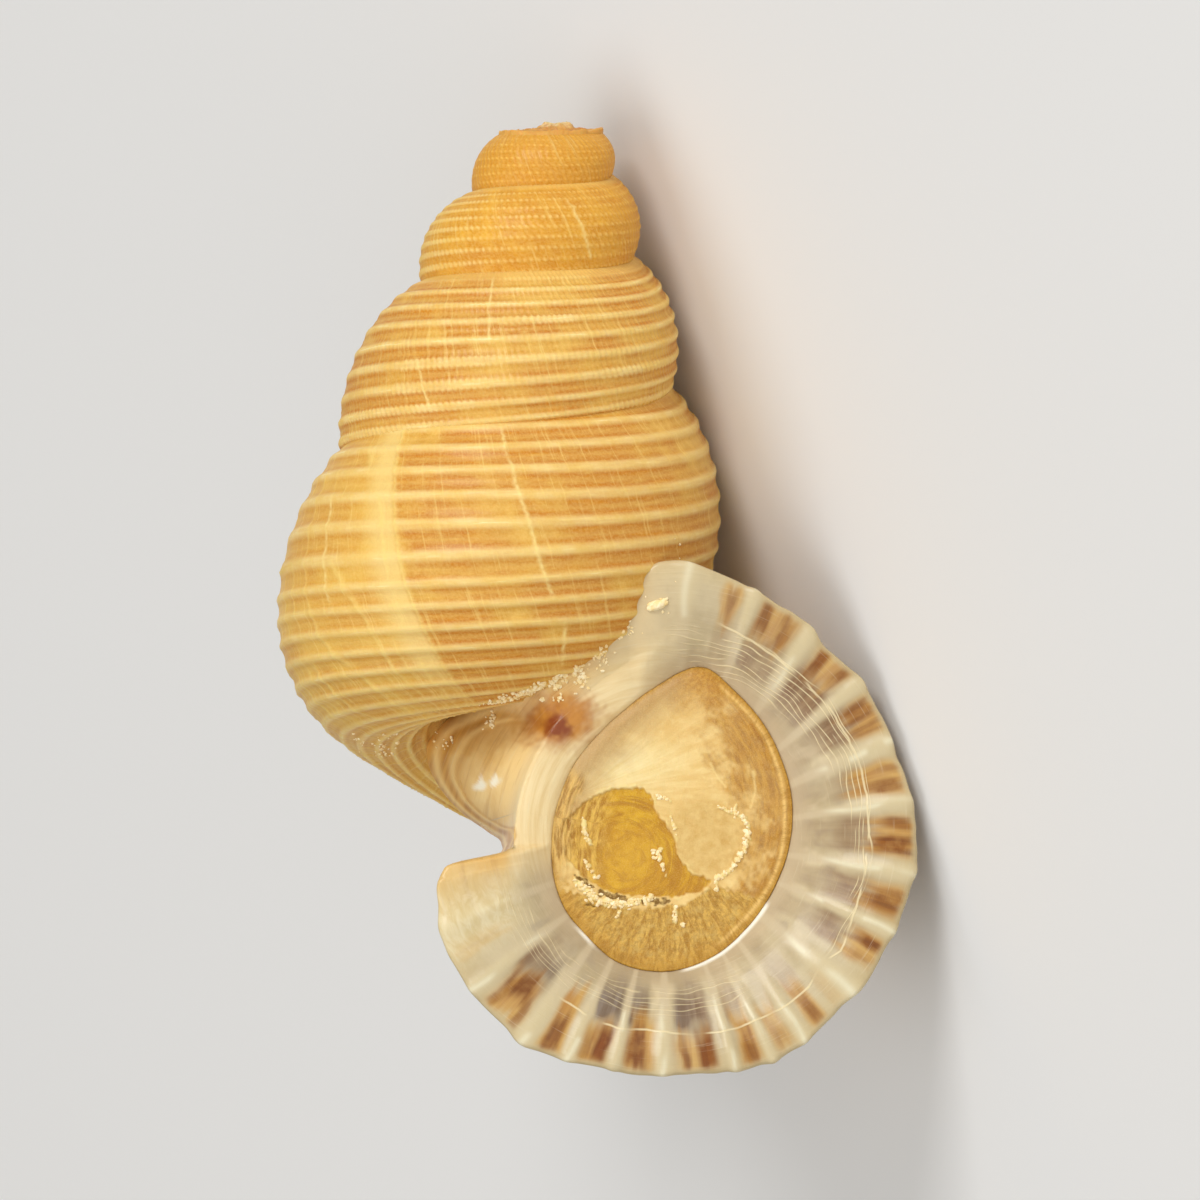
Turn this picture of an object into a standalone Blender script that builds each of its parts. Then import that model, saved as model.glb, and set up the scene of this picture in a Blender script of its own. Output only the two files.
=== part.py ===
"""A land snail shell lying on its back, with the operculum still in its mouth.

Two pieces: the shell, which grew as one piece, and the operculum, a thin plate set in its mouth.
The shell is a tube wound round an axis. It is modelled in its own frame (axis upright, mouth to the
front, millimetres) and at the end both pieces are turned into the pose in which the shell rests.
"""
import math

import bmesh
import bpy
from mathutils import Matrix, Vector

MM = 0.001

# ---------------------------------------------------------------- driving dimensions, millimetres
# The growing tube at stations half a turn apart. Turn 0 is the left side of the body whorl; the
# tube winds clockwise seen from the top. Columns: turn, outer radius from the axis, height of the
# widest line, half width of the tube, rise above the widest line, fall below it.
TUBE_STATIONS = (
    (-4.00, 1.25, 11.10, 0.66, 0.70, 0.82),
    (-3.50, 1.60, 10.29, 0.85, 0.82, 1.07),
    (-3.00, 1.91, 9.56, 0.99, 1.23, 1.24),
    (-2.50, 2.42, 8.60, 1.25, 1.43, 1.57),
    (-2.00, 2.99, 7.40, 1.53, 1.80, 1.94),
    (-1.50, 3.70, 5.51, 1.89, 2.57, 2.40),
    (-1.00, 4.55, 3.20, 2.31, 3.75, 2.96),
    (-0.50, 5.23, 1.21, 2.68, 4.00, 3.40),
    (0.00, 5.61, -1.36, 2.86, 4.78, 3.65),
    (0.25, 5.64, -2.82, 2.90, 4.55, 3.90),
    (0.50, 5.66, -3.92, 2.95, 4.05, 3.90),
    (0.61, 5.66, -4.50, 3.12, 3.95, 3.95),
)
FIRST_TURN = -4.00
LAST_TURN = 0.61
RELEASE_TURN = 0.10     # from here the tube leaves the axis
RELEASE_OUT = 3.66      # how far out it has strayed at the mouth
RELEASE_DOWN = 1.54     # and how far down
RELEASE_SWING = 40.0    # degrees by which its end turns to face the front
RELEASE_POWER = 2.5     # how late it does so
INNER_SHARE = 0.84      # the wound tube is this much narrower on its inner side
SHOULDER_POWER = 1.12   # above 1 flattens the slope from the widest line up to the suture

BREAK_HEIGHT = 10.85    # the old tip broke off here
BREAK_TILT = -7.0       # degrees
PLUG_RADIUS = 0.60      # the animal closed the break with a low plug
PLUG_HEIGHT = 0.22

CORE_TOP_RADIUS = 0.45  # the pillar the whorls wind round
CORE_BASE_RADIUS = 2.30
CORE_BASE_HEIGHT = -3.2

MOUTH_CENTRE = Vector((4.76, -4.03, -6.04))
MOUTH_TILT = 10.0       # degrees its top leans back
MOUTH_HALF_WIDTH = 3.04
MOUTH_HALF_HEIGHT = 3.80
MOUTH_POINT = 0.16      # how far the top corner is drawn out, of its half height
MOUTH_POINT_ANGLE = 80.0
MOUTH_DEPTH = 1.15      # of the seat cut for the operculum

LIP_RADIUS = 6.36
LIP_SWELLS = (          # where its outline leaves the circle: angle, width in degrees, millimetres
    (46.0, 24.0, -0.42),
    (97.0, 12.0, 0.40),
    (202.0, 12.0, -0.30),
    (240.0, 22.0, 0.28),
    (316.0, 20.0, 0.12),
)
LIP_LOBES = 22          # scallops round a full turn
LIP_LOBE_DEPTH = 0.10
LIP_RISE = 1.15         # how far the trumpet stands in front of the mouth
LIP_THICKNESS = 0.42
LIP_FUSED_RADIUS = 4.30     # where the lip lies on the body whorl
LIP_FUSED_FROM = 107.0      # degrees, counter-clockwise from the right
LIP_FUSED_TO = 196.0

LIP_FUSED_LOW = 0.70        # how much lower it stands there

OPERCULUM_GAP = 0.30
OPERCULUM_THICKNESS = 0.45
OPERCULUM_SINK = 0.10
OPERCULUM_DISH = 0.12

TUBE_SIDES = 20
TUBE_STRETCHES = 7
TUBE_RINGS_PER_STRETCH = 13
TUBE_TAPER = 0.8        # of the ring with which a stretch starts inside the one before
LIP_SIDES = 132

REST_PITCH = 18.0       # degrees: the tip points this much down towards the floor
REST_ROLL = 60.9        # degrees: the turn about the axis, until the lip touches the floor


# ---------------------------------------------------------------- helpers
def clear_scene():
    for obj in list(bpy.data.objects):
        bpy.data.objects.remove(obj, do_unlink=True)


def new_collection(name):
    collection = bpy.data.collections.new(name)
    bpy.context.scene.collection.children.link(collection)
    return collection


def material(name, colour, roughness, metallic=0.0):
    result = bpy.data.materials.new(name)
    result.use_nodes = True
    shader = result.node_tree.nodes["Principled BSDF"]
    shader.inputs["Base Color"].default_value = (*colour, 1.0)
    shader.inputs["Roughness"].default_value = roughness
    shader.inputs["Metallic"].default_value = metallic
    return result


def add_object(name, bm, collection):
    mesh = bpy.data.meshes.new(name)
    bm.to_mesh(mesh)
    bm.free()
    obj = bpy.data.objects.new(name, mesh)
    collection.objects.link(obj)
    return obj


def add_cutter(name, bm, collection):
    obj = add_object(name, bm, collection)
    obj.hide_render = True
    obj.display_type = "WIRE"
    return obj


def rolled_sheet(sides, rows, place):
    """A grid rolled into a closed tube: place(row, angle) gives each point, and caps close it."""
    bm = bmesh.new()
    bmesh.ops.create_grid(bm, x_segments=sides, y_segments=rows, size=1.0)
    for vert in bm.verts:
        side = round((vert.co.x + 1.0) / 2.0 * sides) % sides
        row = round((vert.co.y + 1.0) / 2.0 * rows)
        vert.co = place(row, side * math.tau / sides)
    bmesh.ops.remove_doubles(bm, verts=bm.verts, dist=1e-4)
    rims = [edge for edge in bm.edges if edge.is_boundary]
    bmesh.ops.holes_fill(bm, edges=rims, sides=0)
    bmesh.ops.recalc_face_normals(bm, faces=bm.faces)
    return bm


def boolean(target, other, operation):
    """Joins or cuts. The exact solver loses whole whorls where two tubes share an end ring."""
    step = target.modifiers.new(f"{operation} {other.name}", "BOOLEAN")
    step.operation = operation
    step.object = other
    step.solver = "MANIFOLD"


# ---------------------------------------------------------------- the growing tube
def tube_size(turn):
    """The station values at a turn, on a smooth curve through the stations."""
    stations = TUBE_STATIONS
    last = len(stations) - 2
    low = 0
    while low < last and stations[low + 1][0] <= turn:
        low += 1
    before = stations[max(low - 1, 0)]
    start = stations[low]
    end = stations[low + 1]
    after = stations[min(low + 2, last + 1)]
    span = end[0] - start[0]
    part = (turn - start[0]) / span
    values = []
    for column in range(1, 6):
        slope_in = (end[column] - before[column]) / (end[0] - before[0]) * span
        slope_out = (after[column] - start[column]) / (after[0] - start[0]) * span
        values.append(hermite(start[column], end[column], slope_in, slope_out, part))
    return values


def hermite(start, end, slope_in, slope_out, part):
    square = part * part
    cube = square * part
    return (
        start * (2 * cube - 3 * square + 1)
        + end * (3 * square - 2 * cube)
        + slope_in * (cube - 2 * square + part)
        + slope_out * (cube - square)
    )


def tube_point(turn, angle):
    """A point of the tube's wall; angle 0 is its outermost line and 90 degrees its top."""
    radius, height, half_width, rise, fall = tube_size(turn)
    freed = max(0.0, (turn - RELEASE_TURN) / (LAST_TURN - RELEASE_TURN))
    azimuth = math.pi - math.tau * turn
    centre_radius = radius - half_width + RELEASE_OUT * freed ** RELEASE_POWER
    centre = Vector((
        centre_radius * math.cos(azimuth),
        centre_radius * math.sin(azimuth),
        height - RELEASE_DOWN * freed ** RELEASE_POWER,
    ))
    facing = azimuth + math.radians(RELEASE_SWING) * freed ** 1.5
    outward = Vector((math.cos(facing), math.sin(facing), 0.0))
    upward = rise if math.sin(angle) > 0 else fall
    inner_width = half_width * (INNER_SHARE + (1.0 - INNER_SHARE) * freed)
    across = math.cos(angle)
    if across < 0:
        reach = inner_width * across
    elif math.sin(angle) > 0:
        reach = half_width * across ** SHOULDER_POWER
    else:
        reach = half_width * across
    return centre + outward * reach + Vector((0, 0, upward * math.sin(angle)))


def build_tube(number):
    """One of the stretches of tube, short enough not to run into itself.

    It starts with a narrower ring inside the stretch before it, so that no two end faces coincide.
    """
    first_ring = number * TUBE_RINGS_PER_STRETCH
    step = (LAST_TURN - FIRST_TURN) / (TUBE_STRETCHES * TUBE_RINGS_PER_STRETCH)

    def place(row, angle):
        turn = FIRST_TURN + step * (first_ring + row - 1)
        if row > 0:
            return tube_point(turn, angle)
        middle = (tube_point(turn, 0.0) + tube_point(turn, math.pi)) / 2
        return middle.lerp(tube_point(turn, angle), TUBE_TAPER)

    return rolled_sheet(TUBE_SIDES, TUBE_RINGS_PER_STRETCH + 1, place)


def build_core():
    """The pillar, a cone that fills the middle of the whorls."""
    bm = bmesh.new()
    height = BREAK_HEIGHT - CORE_BASE_HEIGHT
    bmesh.ops.create_cone(
        bm, cap_ends=True, segments=24, radius1=CORE_BASE_RADIUS, radius2=CORE_TOP_RADIUS,
        depth=height, matrix=Matrix.Translation((0, 0, CORE_BASE_HEIGHT + height / 2)),
    )
    return bm


def build_break():
    """The block that takes the lost tip away."""
    bm = bmesh.new()
    size = 6.0
    place = Matrix.Translation((0, 0, BREAK_HEIGHT)) @ Matrix.Rotation(math.radians(BREAK_TILT), 4, "Y")
    bmesh.ops.create_cube(bm, size=size, matrix=place @ Matrix.Translation((0, 0, size / 2)))
    return bm


def build_plug():
    bm = bmesh.new()
    bmesh.ops.create_uvsphere(bm, u_segments=20, v_segments=10, radius=PLUG_RADIUS)
    bmesh.ops.scale(bm, vec=(1.0, 0.85, PLUG_HEIGHT / PLUG_RADIUS), verts=bm.verts)
    bmesh.ops.translate(bm, vec=(0.0, 0.0, BREAK_HEIGHT), verts=bm.verts)
    return bm


# ---------------------------------------------------------------- the mouth and the lip
def mouth_place(across, up, out):
    """A point in the mouth's own axes: to its right, up along it, and out towards the front."""
    tilt = math.radians(MOUTH_TILT)
    return (
        MOUTH_CENTRE
        + Vector((across, 0, 0))
        + up * Vector((0, math.sin(tilt), math.cos(tilt)))
        + out * Vector((0, -math.cos(tilt), math.sin(tilt)))
    )


def mouth_radius(angle):
    """The mouth's outline: an oval drawn out to a blunt corner at its top."""
    oval = 1.0 / math.hypot(math.cos(angle) / MOUTH_HALF_WIDTH, math.sin(angle) / MOUTH_HALF_HEIGHT)
    off = (angle - math.radians(MOUTH_POINT_ANGLE) + math.pi) % math.tau - math.pi
    corner = math.exp(-abs(off) / math.radians(16.0))
    shoulder = math.exp(-(off / math.radians(45.0)) ** 2)
    return oval * (1.0 + MOUTH_POINT * corner - 0.10 * shoulder)


def smooth_step(value):
    value = min(max(value, 0.0), 1.0)
    return value * value * (3.0 - 2.0 * value)


def fused_share(angle):
    """1 where the lip lies on the body whorl, 0 where it stands free."""
    degrees = math.degrees(angle) % 360.0
    into = smooth_step((degrees - LIP_FUSED_FROM + 6.0) / 12.0)
    back = smooth_step((degrees - LIP_FUSED_TO + 2.0) / 4.0)
    return into * (1.0 - back)


def lip_radius(angle):
    """The lip's scalloped edge, drawn in where it lies on the body whorl."""
    degrees = math.degrees(angle) % 360.0
    free = LIP_RADIUS + LIP_LOBE_DEPTH * (abs(math.sin(angle * LIP_LOBES / 2.0)) - 0.6)
    for place, width, height in LIP_SWELLS:
        free += height * math.exp(-((degrees - place) / width) ** 2)
    return free + (LIP_FUSED_RADIUS - free) * fused_share(angle)


# The lip's section from the tube round its edge to the mouth: its share of the lip's width, its
# share of the trumpet's rise, and how far it is set back from there.
LIP_SECTION = (
    (-0.06, 0.00, 1.70),
    (0.03, 0.00, 1.00),
    (0.16, 0.10, 0.46),
    (0.42, 0.62, LIP_THICKNESS),
    (0.97, 1.00, LIP_THICKNESS),
    (1.00, 1.00, LIP_THICKNESS / 2),
    (0.97, 1.00, 0.0),
    (0.60, 0.84, 0.0),
    (0.28, 0.50, 0.0),
    (0.06, 0.00, 0.0),
    (-0.05, 0.00, 0.25),
)


def build_lip():
    def place(row, angle):
        share, rise, set_back = LIP_SECTION[row]
        inner = mouth_radius(angle)
        radius = inner + (lip_radius(angle) - inner) * share
        out = rise * LIP_RISE * (1.0 - LIP_FUSED_LOW * fused_share(angle)) - set_back
        return mouth_place(radius * math.cos(angle), radius * math.sin(angle), out)

    return rolled_sheet(LIP_SIDES, len(LIP_SECTION) - 1, place)


def egg_plate(margin, bottom, top, dish=0.0):
    """A plate with the mouth's outline, this much smaller all round, its face a little hollow."""
    rows = ((1.0, bottom), (1.0, top - dish * 0.3), (0.96, top), (0.5, top - dish * 0.75), (0.12, top - dish))

    def place(row, angle):
        share, out = rows[row]
        radius = (mouth_radius(angle) - margin) * share
        return mouth_place(radius * math.cos(angle), radius * math.sin(angle), out)

    return rolled_sheet(LIP_SIDES // 2, len(rows) - 1, place)


# ---------------------------------------------------------------- the two pieces
def settle(objects, cutters):
    """Fixes the unions in, turns the pieces into the resting pose, and goes over to metres.

    The unions are worked out in millimetres, because the solver's tolerances are too coarse for
    a shell this small in metres.
    """
    graph = bpy.context.evaluated_depsgraph_get()
    for obj in objects:
        obj.data = bpy.data.meshes.new_from_object(obj.evaluated_get(graph))
    for obj in objects:
        obj.modifiers.clear()
    turned = [rest_turn() @ vert.co for obj in objects for vert in obj.data.vertices]
    lows = [min(point[axis] for point in turned) for axis in range(3)]
    highs = [max(point[axis] for point in turned) for axis in range(3)]
    drop = Vector((-(lows[0] + highs[0]) / 2, -(lows[1] + highs[1]) / 2, -lows[2]))
    place = Matrix.Scale(MM, 4) @ Matrix.Translation(drop) @ rest_turn()
    for obj in [*objects, *cutters]:
        obj.data.transform(place)


def rest_turn():
    """From the upright frame (axis up, mouth to the front) to lying: the tip points along +X."""
    lay_down = Matrix(((0, 0, 1, 0), (-1, 0, 0, 0), (0, -1, 0, 0), (0, 0, 0, 1)))
    roll = Matrix.Rotation(math.radians(REST_ROLL), 4, "X")
    pitch = Matrix.Rotation(math.radians(REST_PITCH), 4, "Y")
    return pitch @ roll @ lay_down


def main():
    clear_scene()
    pieces = new_collection("land_snail_shell")
    cutters = new_collection("cutters")

    shell = add_object("shell", build_core(), pieces)
    shell.data.materials.append(material("shell_lime", (0.84, 0.55, 0.20), 0.42))
    for number in range(TUBE_STRETCHES):
        stretch = add_cutter(f"stretch_{number + 1}", build_tube(number), cutters)
        boolean(shell, stretch, "UNION")
    boolean(shell, add_cutter("lost_tip", build_break(), cutters), "DIFFERENCE")
    boolean(shell, add_cutter("plug", build_plug(), cutters), "UNION")
    boolean(shell, add_cutter("lip", build_lip(), cutters), "UNION")
    seat = egg_plate(0.0, -MOUTH_DEPTH, 0.6)
    boolean(shell, add_cutter("seat", seat, cutters), "DIFFERENCE")

    top = -OPERCULUM_SINK
    plate = egg_plate(OPERCULUM_GAP, top - OPERCULUM_THICKNESS, top, OPERCULUM_DISH)
    operculum = add_object("operculum", plate, pieces)
    operculum.data.materials.append(material("operculum_horn", (0.62, 0.38, 0.10), 0.45))

    settle([shell, operculum], cutters.objects)


main()
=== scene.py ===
# %% [markdown]
# # A land snail shell with its broken tip, its trumpet lip and its operculum
# A snail's shell is one tube of lime that grew longer and wider as it wound round an axis. So
# nearly everything on it can be told from two numbers: how far along the tube a point is, counted
# in turns, and where it is round the tube's section. The lime pieces below are sheets wrapped on
# those two numbers, and the ribs, beads, growth lines and colours are written in them too.
# The imported solid comes first.

# %% The imported solid
import math

import bmesh
import bpy
import numpy as np
from mathutils import Matrix, Vector
from mathutils.bvhtree import BVHTree


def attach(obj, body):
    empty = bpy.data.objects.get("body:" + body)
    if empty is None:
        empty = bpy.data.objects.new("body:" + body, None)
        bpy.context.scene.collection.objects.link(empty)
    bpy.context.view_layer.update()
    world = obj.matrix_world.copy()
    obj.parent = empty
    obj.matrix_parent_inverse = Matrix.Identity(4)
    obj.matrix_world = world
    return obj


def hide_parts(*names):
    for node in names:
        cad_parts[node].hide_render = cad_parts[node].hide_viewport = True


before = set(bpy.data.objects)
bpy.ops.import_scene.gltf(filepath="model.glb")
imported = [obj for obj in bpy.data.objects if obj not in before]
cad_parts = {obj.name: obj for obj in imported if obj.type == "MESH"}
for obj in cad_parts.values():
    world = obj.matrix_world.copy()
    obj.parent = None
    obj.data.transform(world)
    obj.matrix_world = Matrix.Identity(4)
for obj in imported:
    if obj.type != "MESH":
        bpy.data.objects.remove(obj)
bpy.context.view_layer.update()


# %% [markdown]
# ## Where the shell lies
# The shell is easiest to think of standing on its axis with the mouth to the front: X to the
# right, Y away and Z up, in millimetres. It really lies on its side, pitched towards its tip and
# rolled until the lip's edge touches the floor. The turn between the two is known; where the
# origin falls is measured from the operculum, whose centre is the centre of the mouth.

# %% The upright axes and the resting place
MM = 0.001
REST_PITCH = math.radians(18.0)
REST_ROLL = math.radians(60.9)
MOUTH_CENTRE = np.array((4.76, -4.03, -6.04))
MOUTH_TILT = math.radians(10.0)
MOUTH_HALF_HEIGHT = 3.80
OPERCULUM_GAP = 0.30
OPERCULUM_SINK = 0.10

LAY_DOWN = Matrix(((0, 0, 1), (-1, 0, 0), (0, -1, 0)))
REST = np.array(Matrix.Rotation(REST_PITCH, 3, "Y") @ Matrix.Rotation(REST_ROLL, 3, "X") @ LAY_DOWN)
ACROSS = np.array((1.0, 0.0, 0.0))
UP = np.array((0.0, math.sin(MOUTH_TILT), math.cos(MOUTH_TILT)))
OUT = np.array((0.0, -math.cos(MOUTH_TILT), math.sin(MOUTH_TILT)))


def node_points(name):
    """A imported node's points, in millimetres, turned upright but not moved."""
    return np.array([vert.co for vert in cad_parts[name].data.vertices]) / MM @ REST


plate = node_points("operculum")
found_centre = (
    ACROSS * ((plate @ ACROSS).min() + (plate @ ACROSS).max()) / 2
    + UP * ((plate @ UP).min() + MOUTH_HALF_HEIGHT - OPERCULUM_GAP)
    + OUT * ((plate @ OUT).max() + OPERCULUM_SINK)
)
ORIGIN = found_centre - MOUTH_CENTRE


def lay_down(points):
    """Upright millimetres to the floor's metres."""
    return (points + ORIGIN) @ REST.T * MM


print("axis foot on the floor, mm:", np.round(lay_down(np.zeros(3)) / MM, 2))


# %% [markdown]
# ## Camera, floor and light
# The camera looks straight into the mouth side of the shell, which means slantwise down at a shell
# that lies on the floor, with the tip at the top of the view. A long lens keeps the shell's outline
# free of perspective. The light is a big soft lamp from the upper left, a wide fill in front, a
# third lamp low on the left and a faint sky, so every rib has a lit and a shaded flank but nothing
# is harsh.

# %% Camera
VIEW_LEAN = math.radians(6.3)
VIEW_RISE = math.radians(2.5)
VIEW_WIDTH = 30.19 * MM
LENS = 400.0
SENSOR = 36.0

ahead = np.array((0.0, math.cos(VIEW_RISE), -math.sin(VIEW_RISE)))
overhead = np.array((0.0, math.sin(VIEW_RISE), math.cos(VIEW_RISE)))
view_right = math.cos(VIEW_LEAN) * ACROSS + math.sin(VIEW_LEAN) * overhead
view_up = math.cos(VIEW_LEAN) * overhead - math.sin(VIEW_LEAN) * ACROSS
every_point = np.vstack([node_points(name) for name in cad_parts])
aim = sum(
    axis * ((every_point @ axis).min() + (every_point @ axis).max()) / 2
    for axis in (view_right, view_up, ahead)
)
distance = VIEW_WIDTH * LENS / SENSOR

camera_data = bpy.data.cameras.new("camera")
camera_data.lens = LENS
camera_data.sensor_width = SENSOR
camera_data.clip_start = distance / 10
camera_data.clip_end = distance * 20
camera = bpy.data.objects.new("camera", camera_data)
bpy.context.scene.collection.objects.link(camera)
camera_axes = Matrix([list(REST @ axis) for axis in (view_right, view_up, -ahead)]).transposed()
camera_place = Vector(REST @ aim * MM - REST @ ahead * distance)
camera.matrix_world = Matrix.Translation(camera_place) @ camera_axes.to_4x4()
bpy.context.scene.camera = camera
print("camera looks down by", round(math.degrees(math.asin(-(REST @ ahead)[2])), 1), "degrees")


# %% Floor and lamps
FLOOR_SIZE = 1.5        # these are in metres, as the scene is
LAMP_REACH = 0.7
LAMP_AIM_HEIGHT = 0.006


def plain_material(name, colour, roughness):
    material = bpy.data.materials.new(name)
    material.use_nodes = True
    shader = material.node_tree.nodes["Principled BSDF"]
    shader.inputs["Base Color"].default_value = (*colour, 1.0)
    shader.inputs["Roughness"].default_value = roughness
    return material


floor_mesh = bpy.data.meshes.new("floor")
floor_bm = bmesh.new()
bmesh.ops.create_grid(floor_bm, x_segments=1, y_segments=1, size=FLOOR_SIZE)
floor_bm.to_mesh(floor_mesh)
floor_bm.free()
floor_mesh.materials.append(plain_material("pale_floor", (0.80, 0.79, 0.77), 0.7))
floor = bpy.data.objects.new("floor", floor_mesh)
bpy.context.scene.collection.objects.link(floor)


def lamp(name, direction, size, power):
    """A square soft lamp that stands off in an upright direction and faces the shell."""
    data = bpy.data.lights.new(name, "AREA")
    data.size = size
    data.energy = power
    obj = bpy.data.objects.new(name, data)
    toward = Vector(REST @ (np.array(direction) / np.linalg.norm(direction)))
    obj.location = toward * LAMP_REACH + Vector((0, 0, LAMP_AIM_HEIGHT))
    obj.rotation_euler = toward.to_track_quat("Z", "Y").to_euler()
    bpy.context.scene.collection.objects.link(obj)
    print(name, "lamp at", [round(side, 2) for side in obj.location])


lamp("key", (-0.55, -0.75, 0.75), 0.306, 2.75)
lamp("front_fill", (0.1, -1.0, -0.1), 0.80, 1.7)
lamp("side_fill", (-0.8, -0.5, -0.45), 0.525, 1.5)

world = bpy.data.worlds.new("studio")
world.use_nodes = True
world.node_tree.nodes["Background"].inputs["Color"].default_value = (1.0, 0.99, 0.97, 1.0)
world.node_tree.nodes["Background"].inputs["Strength"].default_value = 0.335
bpy.context.scene.world = world
bpy.context.scene.view_settings.view_transform = "Standard"


# %% [markdown]
# ## The tube the snail built
# The stations tell how wide and how high the tube is, at each half turn and closer together near
# its end; a smooth curve runs through them. The last part lets go of the axis, swings round and
# comes down into the mouth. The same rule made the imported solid, so a sheet wrapped on it lies
# where the solid is.

# %% The tube's stations
TUBE_STATIONS = np.array((      # turn, outer radius, height of widest line, half width, rise, fall
    (-4.00, 1.25, 11.10, 0.66, 0.70, 0.82),
    (-3.50, 1.60, 10.29, 0.85, 0.82, 1.07),
    (-3.00, 1.91, 9.56, 0.99, 1.23, 1.24),
    (-2.50, 2.42, 8.60, 1.25, 1.43, 1.57),
    (-2.00, 2.99, 7.40, 1.53, 1.80, 1.94),
    (-1.50, 3.70, 5.51, 1.89, 2.57, 2.40),
    (-1.00, 4.55, 3.20, 2.31, 3.75, 2.96),
    (-0.50, 5.23, 1.21, 2.68, 4.00, 3.40),
    (0.00, 5.61, -1.36, 2.86, 4.78, 3.65),
    (0.25, 5.64, -2.82, 2.90, 4.55, 3.90),
    (0.50, 5.66, -3.92, 2.95, 4.05, 3.90),
    (0.61, 5.66, -4.50, 3.12, 3.95, 3.95),
))
FIRST_TURN = -4.0
LAST_TURN = 0.61
RELEASE_TURN = 0.10
RELEASE_OUT = 3.66
RELEASE_DOWN = 1.54
RELEASE_SWING = math.radians(40.0)
RELEASE_POWER = 2.5
INNER_SHARE = 0.84
SHOULDER_POWER = 1.12


# %% The tube's wall
def tube_sizes(turns):
    """The station values at each turn, on a smooth curve through the stations."""
    last = len(TUBE_STATIONS) - 1
    low = np.clip(np.searchsorted(TUBE_STATIONS[:, 0], turns, side="right") - 1, 0, last - 1)
    before = TUBE_STATIONS[np.maximum(low - 1, 0)]
    start = TUBE_STATIONS[low]
    end = TUBE_STATIONS[low + 1]
    after = TUBE_STATIONS[np.minimum(low + 2, last)]
    span = end[:, :1] - start[:, :1]
    part = (turns[:, None] - start[:, :1]) / span
    slope_in = (end - before) / (end[:, :1] - before[:, :1]) * span
    slope_out = (after - start) / (after[:, :1] - start[:, :1]) * span
    square = part**2
    cube = part**3
    return (
        start * (2 * cube - 3 * square + 1) + end * (3 * square - 2 * cube)
        + slope_in * (cube - 2 * square + part) + slope_out * (cube - square)
    )[:, 1:].T


def tube_wall(turns, angles):
    """Points of the smooth wall, one row for each turn; angle 0 is its widest line, 90 degrees its top."""
    radius, height, half_width, rise, fall = tube_sizes(turns)
    freed = np.maximum(0.0, (turns - RELEASE_TURN) / (LAST_TURN - RELEASE_TURN))
    azimuth = math.pi - math.tau * turns
    centre_radius = radius - half_width + RELEASE_OUT * freed**RELEASE_POWER
    centre = np.stack((
        centre_radius * np.cos(azimuth),
        centre_radius * np.sin(azimuth),
        height - RELEASE_DOWN * freed**RELEASE_POWER,
    ), axis=1)
    facing = azimuth + RELEASE_SWING * freed**1.5
    outward = np.stack((np.cos(facing), np.sin(facing), np.zeros_like(facing)), axis=1)
    inner_width = half_width * (INNER_SHARE + (1.0 - INNER_SHARE) * freed)
    cosine = np.cos(angles)[None, :]
    sine = np.sin(angles)[None, :]
    shoulder = half_width[:, None] * np.abs(cosine) ** SHOULDER_POWER
    reach = np.where(cosine < 0, inner_width[:, None] * cosine, half_width[:, None] * cosine)
    reach = np.where((cosine >= 0) & (sine > 0), shoulder, reach)
    lift = np.where(sine > 0, rise[:, None], fall[:, None]) * sine
    upward = np.array((0.0, 0.0, 1.0))
    return centre[:, None] + reach[..., None] * outward[:, None] + lift[..., None] * upward


turn_steps = np.linspace(FIRST_TURN, LAST_TURN, 2000)
widest = tube_wall(turn_steps, np.zeros(1))[:, 0]
growth_steps = np.concatenate(([0.0], np.cumsum(np.linalg.norm(np.diff(widest, axis=0), axis=1))))


def grown(turns):
    """How much tube had grown by that turn, in millimetres along its widest line."""
    return np.interp(turns, turn_steps, growth_steps)


print("the snail built", round(growth_steps[-1], 1), "mm of tube in", LAST_TURN - FIRST_TURN, "turns")


# %% [markdown]
# ## Sheets wrapped on two numbers
# `new_sheet` makes a plain grid with a bmesh operator and lays it on the points it is given. It
# also stores the numbers that the materials need, such as how much a point is on a rib. A sheet
# that goes right round is closed along its seam, and its two ends are filled, so each piece is a
# closed solid with its faces outward.

# %% Smooth steps, hills and patches
def smooth_step(value):
    value = np.clip(value, 0.0, 1.0)
    return value * value * (3.0 - 2.0 * value)


def climb(value, start, width):
    """0 up to the start, then smoothly to 1 over the width."""
    return smooth_step((value - start) / width)


def fall(value, end, width):
    """1 until a width short of the end, then smoothly to 0."""
    return smooth_step((end - value) / width)


def bump_at(value, centre, width):
    """A smooth hill of height 1."""
    return np.exp(-(((value - centre) / width) ** 2))


def patchy(across, along, seed, size=64):
    """Soft random patches from 0 to 1, one for each whole step both ways."""
    across, along = np.broadcast_arrays(across, along)
    table = np.random.default_rng(seed).random((size, size))
    i = np.floor(across).astype(int)
    j = np.floor(along).astype(int)
    u = smooth_step(across - i)
    v = smooth_step(along - j)
    low = table[i % size, j % size] * (1 - u) + table[(i + 1) % size, j % size] * u
    high = table[i % size, (j + 1) % size] * (1 - u) + table[(i + 1) % size, (j + 1) % size] * u
    return low * (1 - v) + high * v


# %% A sheet from a grid
def normals_of(points):
    """Unit normals of a grid of points."""
    down = np.gradient(points, axis=0)
    side = np.gradient(points, axis=1)
    normal = np.cross(down, side)
    length = np.linalg.norm(normal, axis=2, keepdims=True)
    return normal / np.maximum(length, 1e-9)


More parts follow.
